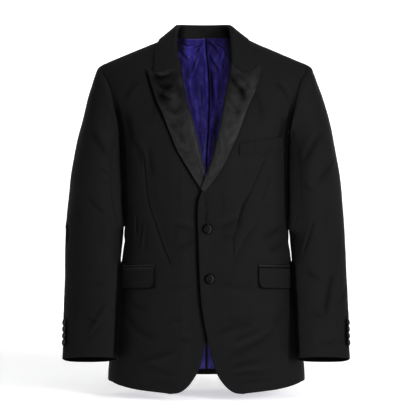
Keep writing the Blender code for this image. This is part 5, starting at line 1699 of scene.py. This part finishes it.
def hip_strip(hand, top, tall, corner, cells):
    """Grid over the hip from the pocket's front end round to the side."""
    share = fine_ends(76, 0.02, 0.02)[None, :]
    begin = angle_of(FLAP_X, FLAP_TOP)
    angle = begin + (math.radians(FLAP_END) - begin) * share
    middle_row = top + tall / 2
    line = form(hand, angle[0], middle_row)
    s = lengths(line[None], 1)[0]
    inset = np.maximum(corner - np.minimum(s, s[-1] - s), 0.0)
    cut = corner - np.sqrt(np.maximum(corner**2 - inset**2, 0.0))
    down = cells[:, None]
    row = top + FLAP_SLANT * share + (tall - cut[None, :]) * down
    angle = angle + 0 * row
    return form(hand, angle, row), form_normal(hand, angle, row), down + 0 * row


def build_pockets(hand):
    side = side_of(hand)
    cells = fine_ends(26, 0.03, 0.03)
    base, normal, down = hip_strip(hand, FLAP_TOP, FLAP_HEIGHT, FLAP_CORNER, cells)
    across = lengths(base, 1)
    lift = POCKET_LIFT + front_lift(hand, base, normal)
    lift += 0.0007 * down * np.sin(across * 44 + hand)
    lift += 0.0008 * smooth(0.6, 1.0, down) * smooth(0.02, 0.0, across)
    stitched = near(across - 0.0055, 0.0007) * smooth(0.0, 0.1, down)
    lift -= 0.00018 * stitched
    # Painted shadow along the flap's front end and bottom edge, and on the right flap a painted
    # light line along its top.
    cloth(
        "flap_" + side + "_wool", ["flap_" + side], base, normal, FLAP_WALL,
        (0.0006, 0.0010, 0.0010, 0.0008), [WOOL], lift, None, 0.0,
        0.97 * (1 - smooth(0.0008, 0.0022, np.minimum(across, (1 - down) * FLAP_HEIGHT)))
        - (1.2 if hand < 0 else 0.0) * (1 - smooth(0.03, 0.06, down)),
    )
    jet_top = FLAP_TOP - JET_HEIGHT - JET_GAP
    base, normal, down = hip_strip(hand, jet_top, JET_HEIGHT, 0.0, steps((0.0, 1.0), (12,)))
    across = lengths(base, 1)
    rolled = 0.0005 * np.sin(math.pi * down) - 0.0004 * near(down - 0.52, 0.07)
    lift = JET_LIFT + rolled + front_lift(hand, base, normal) + 0.0001 * np.sin(across * 900)
    # Painted light and shade across the jets: on the right a dark middle line between lighter ones,
    # on the left a darker lower part.
    cloth(
        "jet_" + side + "_satin", ["jet_" + side], base, normal, JET_WALL,
        (0.0008, 0.0006, 0.0008, 0.0008), [SATIN], lift, None, 0.0,
        1.5 * near(down - 0.60, 0.22) - 0.4 if hand < 0 else 0.20 + 0.75 * smooth(0.42, 0.56, down),
    )


# ---------------------------------------------------------------- buttons and threads

FRONT_BUTTONS = ((0.0017, -0.4326), (0.0067, -0.5413))
FRONT_BUTTON_RADIUS = 0.0100
CUFF_BUTTON_RADIUS = 0.0075
CUFF_BUTTON_HEIGHTS = (-0.6400, -0.6545, -0.6690, -0.6835)
CUFF_BUTTON_ANGLE = math.radians(24)
CUFF_BUTTON_LIFT = 0.0010
BUTTON_GAP = 0.0008
THREAD_SIDES = 8
STITCH_WAVE = 2.1
BUTTONHOLE_POINTS = 120
SILK_RADIUS = 0.00055
TACKING_RADIUS = 0.00045
TACKING_REACH = 0.0019
TACKING_POINTS = 14
# middle of each end of tacking thread, and how far it is turned
TACKING = ((-0.0300, 0.0572, 0.0030, 0.4), (-0.0100, 0.0600, 0.0062, 1.2))
# Covered button from its middle out, over the rolled rim and back under: distance from its axis
# and height over the cloth, both in radii
BUTTON_OUTLINE = (
    (0.00, 0.275), (0.20, 0.275), (0.40, 0.275), (0.55, 0.285), (0.65, 0.31), (0.73, 0.335),
    (0.81, 0.340), (0.89, 0.310), (0.955, 0.25), (0.995, 0.18), (0.99, 0.11), (0.94, 0.045),
    (0.84, 0.01), (0.60, 0.0), (0.30, 0.0), (0.0, 0.0),
)


def frame_at(point, normal):
    """Point and three axes: across, up and out of the cloth."""
    normal = unit(np.asarray(normal, float))
    up = np.array((0.0, 0.0, 1.0))
    up = unit(up - normal * (up @ normal))
    return np.asarray(point, float), np.cross(up, normal), up, normal


def turned(outline, count, gather):
    """Points and quads of an outline turned about its axis, with gathers under the rim."""
    outline = spline(np.array([(r, 0.0, z) for r, z in outline]), np.linspace(0, 1, 46))
    angle = np.linspace(0, math.tau, count, endpoint=False)
    radius, tall = outline[:, 0][:, None], outline[:, 2][:, None]
    folds = 1 + gather * np.sin(angle * 22) * smooth(0.80, 1.0, radius) * (tall < 0.2)
    wide = radius * folds
    points = np.stack((wide * np.cos(angle), wide * np.sin(angle), tall + 0 * angle), -1)
    rows = len(outline)
    index = np.arange(rows * count).reshape(rows, count)
    right = np.roll(index, -1, 1)
    faces = np.stack((index[:-1], index[1:], right[1:], right[:-1]), -1).reshape(-1, 4)
    return points.reshape(-1, 3), faces


def add_button(name, node, point, normal, radius, twist):
    points, faces = turned(BUTTON_OUTLINE, 56, 0.012)
    r = np.linalg.norm(points[:, :2], axis=1)
    points[:, 2] += 0.010 * np.sin(points[:, 0] * 5 + twist) * (points[:, 2] > 0.2) * (1 - r)
    centre, across, up, out = frame_at(point, normal)
    turn = math.cos(twist), math.sin(twist)
    px = points[:, 0] * turn[0] - points[:, 1] * turn[1]
    py = points[:, 0] * turn[1] + points[:, 1] * turn[0]
    pz = points[:, 2] * radius + BUTTON_GAP
    places = centre + px[:, None] * radius * across + py[:, None] * radius * up + pz[:, None] * out
    flat = points[:, :2] * radius
    # Painted shade and light on the button: a dark ring round its left half, a dark crescent
    # inside, a dark rim on its right and a painted highlight crescent within that rim.
    shade = 0.97 * between(0.62, 1.20, r, 0.08) * smooth(0.40, -0.20, px)
    shade = np.maximum(shade, 0.90 * near(np.hypot(px - 0.14, py + 0.08) - 0.42, 0.13))
    shade = shade + 0.9 * smooth(0.93, 0.98, r) * smooth(0.40, 0.60, px)
    shade = np.minimum(shade - 2.6 * near(r - 0.80, 0.09) * smooth(0.10, 0.55, px), 0.97)
    add_piece(name, [node], places, faces, [BUTTON], None, flat, shade)


def tube(points, normals, radius, sides):
    """Tube of thread round a line of points, with stitches as waves."""
    run = unit(np.gradient(points, axis=0))
    other = np.cross(run, normals)
    turn = np.linspace(0, math.tau, sides, endpoint=False)
    waves = np.sin(np.arange(len(points)) * STITCH_WAVE)
    thick = radius * (1 + 0.22 * waves)[:, None, None]
    cosine, sine = np.cos(turn)[None, :, None], np.sin(turn)[None, :, None]
    ring = cosine * other[:, None] + sine * normals[:, None]
    return points[:, None] + ring * thick


def closed_rings(grid):
    rows, count = grid.shape[:2]
    index = np.arange(rows * count).reshape(rows, count)
    right = np.roll(index, -1, 1)
    return np.stack((index[:-1], right[:-1], right[1:], index[1:]), -1).reshape(-1, 4)


def add_thread(name, points, normals, radius, material):
    grid = tube(points, normals, radius, THREAD_SIDES)
    caps = [np.repeat([end.mean(0)], THREAD_SIDES, 0)[None] for end in (grid[0], grid[-1])]
    grid = np.concatenate((caps[0], grid, caps[1]))
    add_piece(name, [], grid.reshape(-1, 3), closed_rings(grid), [material])


def build_front_buttons():
    for number, (x, z) in enumerate(FRONT_BUTTONS, 1):
        row = row_at(x, z)
        angle = angle_of(x, row)
        normal = form_normal(1, angle, row)
        point = form(1, angle, row)
        name = f"front_button_{number}"
        add_button(name + "_satin", name, point, normal, FRONT_BUTTON_RADIUS, 0.7 * number)
        out = frame_at(point, normal)[-1]
        t = np.linspace(0, math.tau, BUTTONHOLE_POINTS)
        long = 0.0088 * signed_power(np.cos(t), 0.55) + 0.0062
        wide = 0.0013 * signed_power(np.sin(t), 0.75)
        eye = 0.0008 * near(long + 0.0020, 0.0018) * np.sign(np.sin(t))
        lay = lifted(1, x + long, z + wide + eye, 0.0004)
        outs = np.repeat(out[None], BUTTONHOLE_POINTS, 0)
        add_thread(f"buttonhole_{number}", lay, outs, SILK_RADIUS, SILK)


def build_cuff_buttons(hand):
    side = side_of(hand)
    for number, z in enumerate(CUFF_BUTTON_HEIGHTS, 1):
        ring = ring_at(hand, CUFF_BUTTON_ANGLE, np.array(z))
        point = sleeve_ring(hand, ring, CUFF_BUTTON_ANGLE)
        down = sleeve_ring(hand, ring + 0.05, CUFF_BUTTON_ANGLE) - point
        around = sleeve_ring(hand, ring, CUFF_BUTTON_ANGLE + 0.02) - point
        normal = hand * unit(np.cross(around, down))
        name = f"cuff_button_{side}_{number}"
        point = point + CUFF_BUTTON_LIFT * normal
        add_button(name + "_satin", name, point, normal, CUFF_BUTTON_RADIUS, 0.9 * number)


def build_specks():
    """Two short ends of pale tacking thread inside the collar, where the lining starts."""
    t = np.linspace(-1, 1, TACKING_POINTS)
    out = np.repeat([[0.0, -1.0, 0.0]], TACKING_POINTS, 0)
    for number, (x, y, z, turn) in enumerate(TACKING, 1):
        across, up = TACKING_REACH * t * math.cos(turn), TACKING_REACH * t * math.sin(turn)
        points = np.stack((x + across, y - 0.0009 * (1 - t * t), z + up), -1)
        add_thread(f"tacking_{number}", points, out, TACKING_RADIUS, COTTON)


# ---------------------------------------------------------------- stage, light, camera

FLOOR = -0.806
BEND_START = 4.6
BEND = 1.6
BEHIND_CAMERA = -8.0
WALL_TOP = 7.0
FLOOR_HALF = 9.0
# where along y the floor's own glow changes, from and to, and the glow at each: the floor glows as
# painted light, keeping floor and backdrop white, and is brighter just in front of the jacket,
# where it lightens the jacket's shadow
FLOOR_GLOW = ((0.9, 2.6, 0.0, 0.39), (-0.16, 0.16, 0.64, 0.38), (-7.0, -4.5, -0.44, 0.0))
MIDDLE = (0.0, 0.0, -0.35)
# name, place, size and watts of each light, all turned to the jacket's middle
LIGHTS = (
    ("key", (2.6, -3.0, 0.45), (1.0, 1.3), 132.0),
    ("front", (0.5, -4.3, 0.45), (1.1, 1.1), 33.0),
    ("back", (1.2, 3.6, 0.7), (1.4, 1.4), 30.0),
    ("above", (0.0, -0.5, 2.6), (2.4, 2.0), 42.0),
)
CAMERA_PLACE = (0.0036, -3.5, -0.387)
SENSOR = 36.0
LENS = 134.6


def build_stage():
    nodes = Nodes("floor_pale")
    place = nodes.add("TexCoord").outputs["Object"]
    tone = nodes.noise(place, 1.3, 3.0)
    colour = nodes.ramp(tone, (0.3, (0.86, 0.86, 0.865)), (0.7, (0.90, 0.90, 0.905)))
    split = nodes.add("SeparateXYZ", {"Vector": place})
    glows = [
        nodes.add("MapRange", {"Value": split.outputs["Y"], **dict(enumerate(ends, 1))})
        for ends in FLOOR_GLOW
    ]
    glow = glows[0].outputs["Result"]
    for more in glows[1:]:
        glow = nodes.math("ADD", glow, more.outputs["Result"])
    material = nodes.finish(
        Base_Color=colour, Roughness=0.9, Specular_IOR_Level=0.1,
        Emission_Color=(1.0, 1.0, 1.0, 1.0), Emission_Strength=glow,
    )
    turn = np.radians(np.linspace(0, 90, 24))
    profile = [(BEHIND_CAMERA - BEND, WALL_TOP)]
    for start, way, angles in ((BEHIND_CAMERA, -1, turn[::-1]), (BEND_START, 1, turn)):
        profile += [(start + way * BEND * math.sin(a), BEND * (1 - math.cos(a))) for a in angles]
    profile += [(BEND_START + BEND, WALL_TOP)]
    x = np.array((-FLOOR_HALF, FLOOR_HALF))
    y, z = np.array(profile).T
    points = np.stack(np.broadcast_arrays(x[None, :], y[:, None], z[:, None] + FLOOR), -1)
    mesh = bpy.data.meshes.new("floor")
    faces = quads_of(len(profile), 2)[:, ::-1]
    mesh.from_pydata(points.reshape(-1, 3).tolist(), [], faces.tolist())
    mesh.shade_smooth()
    mesh.materials.append(material)
    floor = bpy.data.objects.new("floor", mesh)
    bpy.context.scene.collection.objects.link(floor)


def add_light(name, place, size, power):
    data = bpy.data.lights.new(name, "AREA")
    data.shape = "RECTANGLE"
    data.size, data.size_y = size
    data.energy = power
    light = bpy.data.objects.new(name, data)
    light.location = place
    aim = Vector(MIDDLE) - Vector(place)
    light.rotation_mode = "QUATERNION"
    light.rotation_quaternion = aim.to_track_quat("-Z", "Y")
    bpy.context.scene.collection.objects.link(light)


def build_light():
    """World that is dim in front and bright above and behind, with soft lights in front."""
    world = bpy.data.worlds.new("studio")
    world.use_nodes = True
    tree = world.node_tree
    background = tree.nodes["Background"]
    coordinates = tree.nodes.new("ShaderNodeTexCoord")
    facing = tree.nodes.new("ShaderNodeVectorMath")
    facing.operation = "DOT_PRODUCT"
    facing.inputs[1].default_value = (0.0, 0.55, 0.83)
    tree.links.new(coordinates.outputs["Generated"], facing.inputs[0])
    tone = tree.nodes.new("ShaderNodeMapRange")
    for key, value in (("From Min", 0.0), ("From Max", 0.8), ("To Min", 0.07), ("To Max", 1.0)):
        tone.inputs[key].default_value = value
    tree.links.new(facing.outputs["Value"], tone.inputs["Value"])
    tree.links.new(tone.outputs["Result"], background.inputs["Strength"])
    bpy.context.scene.world = world
    for light in LIGHTS:
        add_light(*light)


def build_camera():
    data = bpy.data.cameras.new("camera")
    data.sensor_width = SENSOR
    data.lens = LENS
    camera = bpy.data.objects.new("camera", data)
    camera.location = CAMERA_PLACE
    camera.rotation_euler = (math.radians(90), 0.0, 0.0)
    bpy.context.scene.collection.objects.link(camera)
    bpy.context.scene.camera = camera
    bpy.context.scene.view_settings.view_transform = "Standard"


# ---------------------------------------------------------------- the jacket

build_camera()
build_light()
build_stage()
for hand in (1, -1):
    build_front(hand)
    build_back(hand)
    build_side(hand)
    build_lining(hand)
    build_lapel(hand)
    build_sleeve(hand)
    build_pockets(hand)
    build_cuff_buttons(hand)
build_collar()
build_vent()
build_welt()
build_front_buttons()
build_specks()
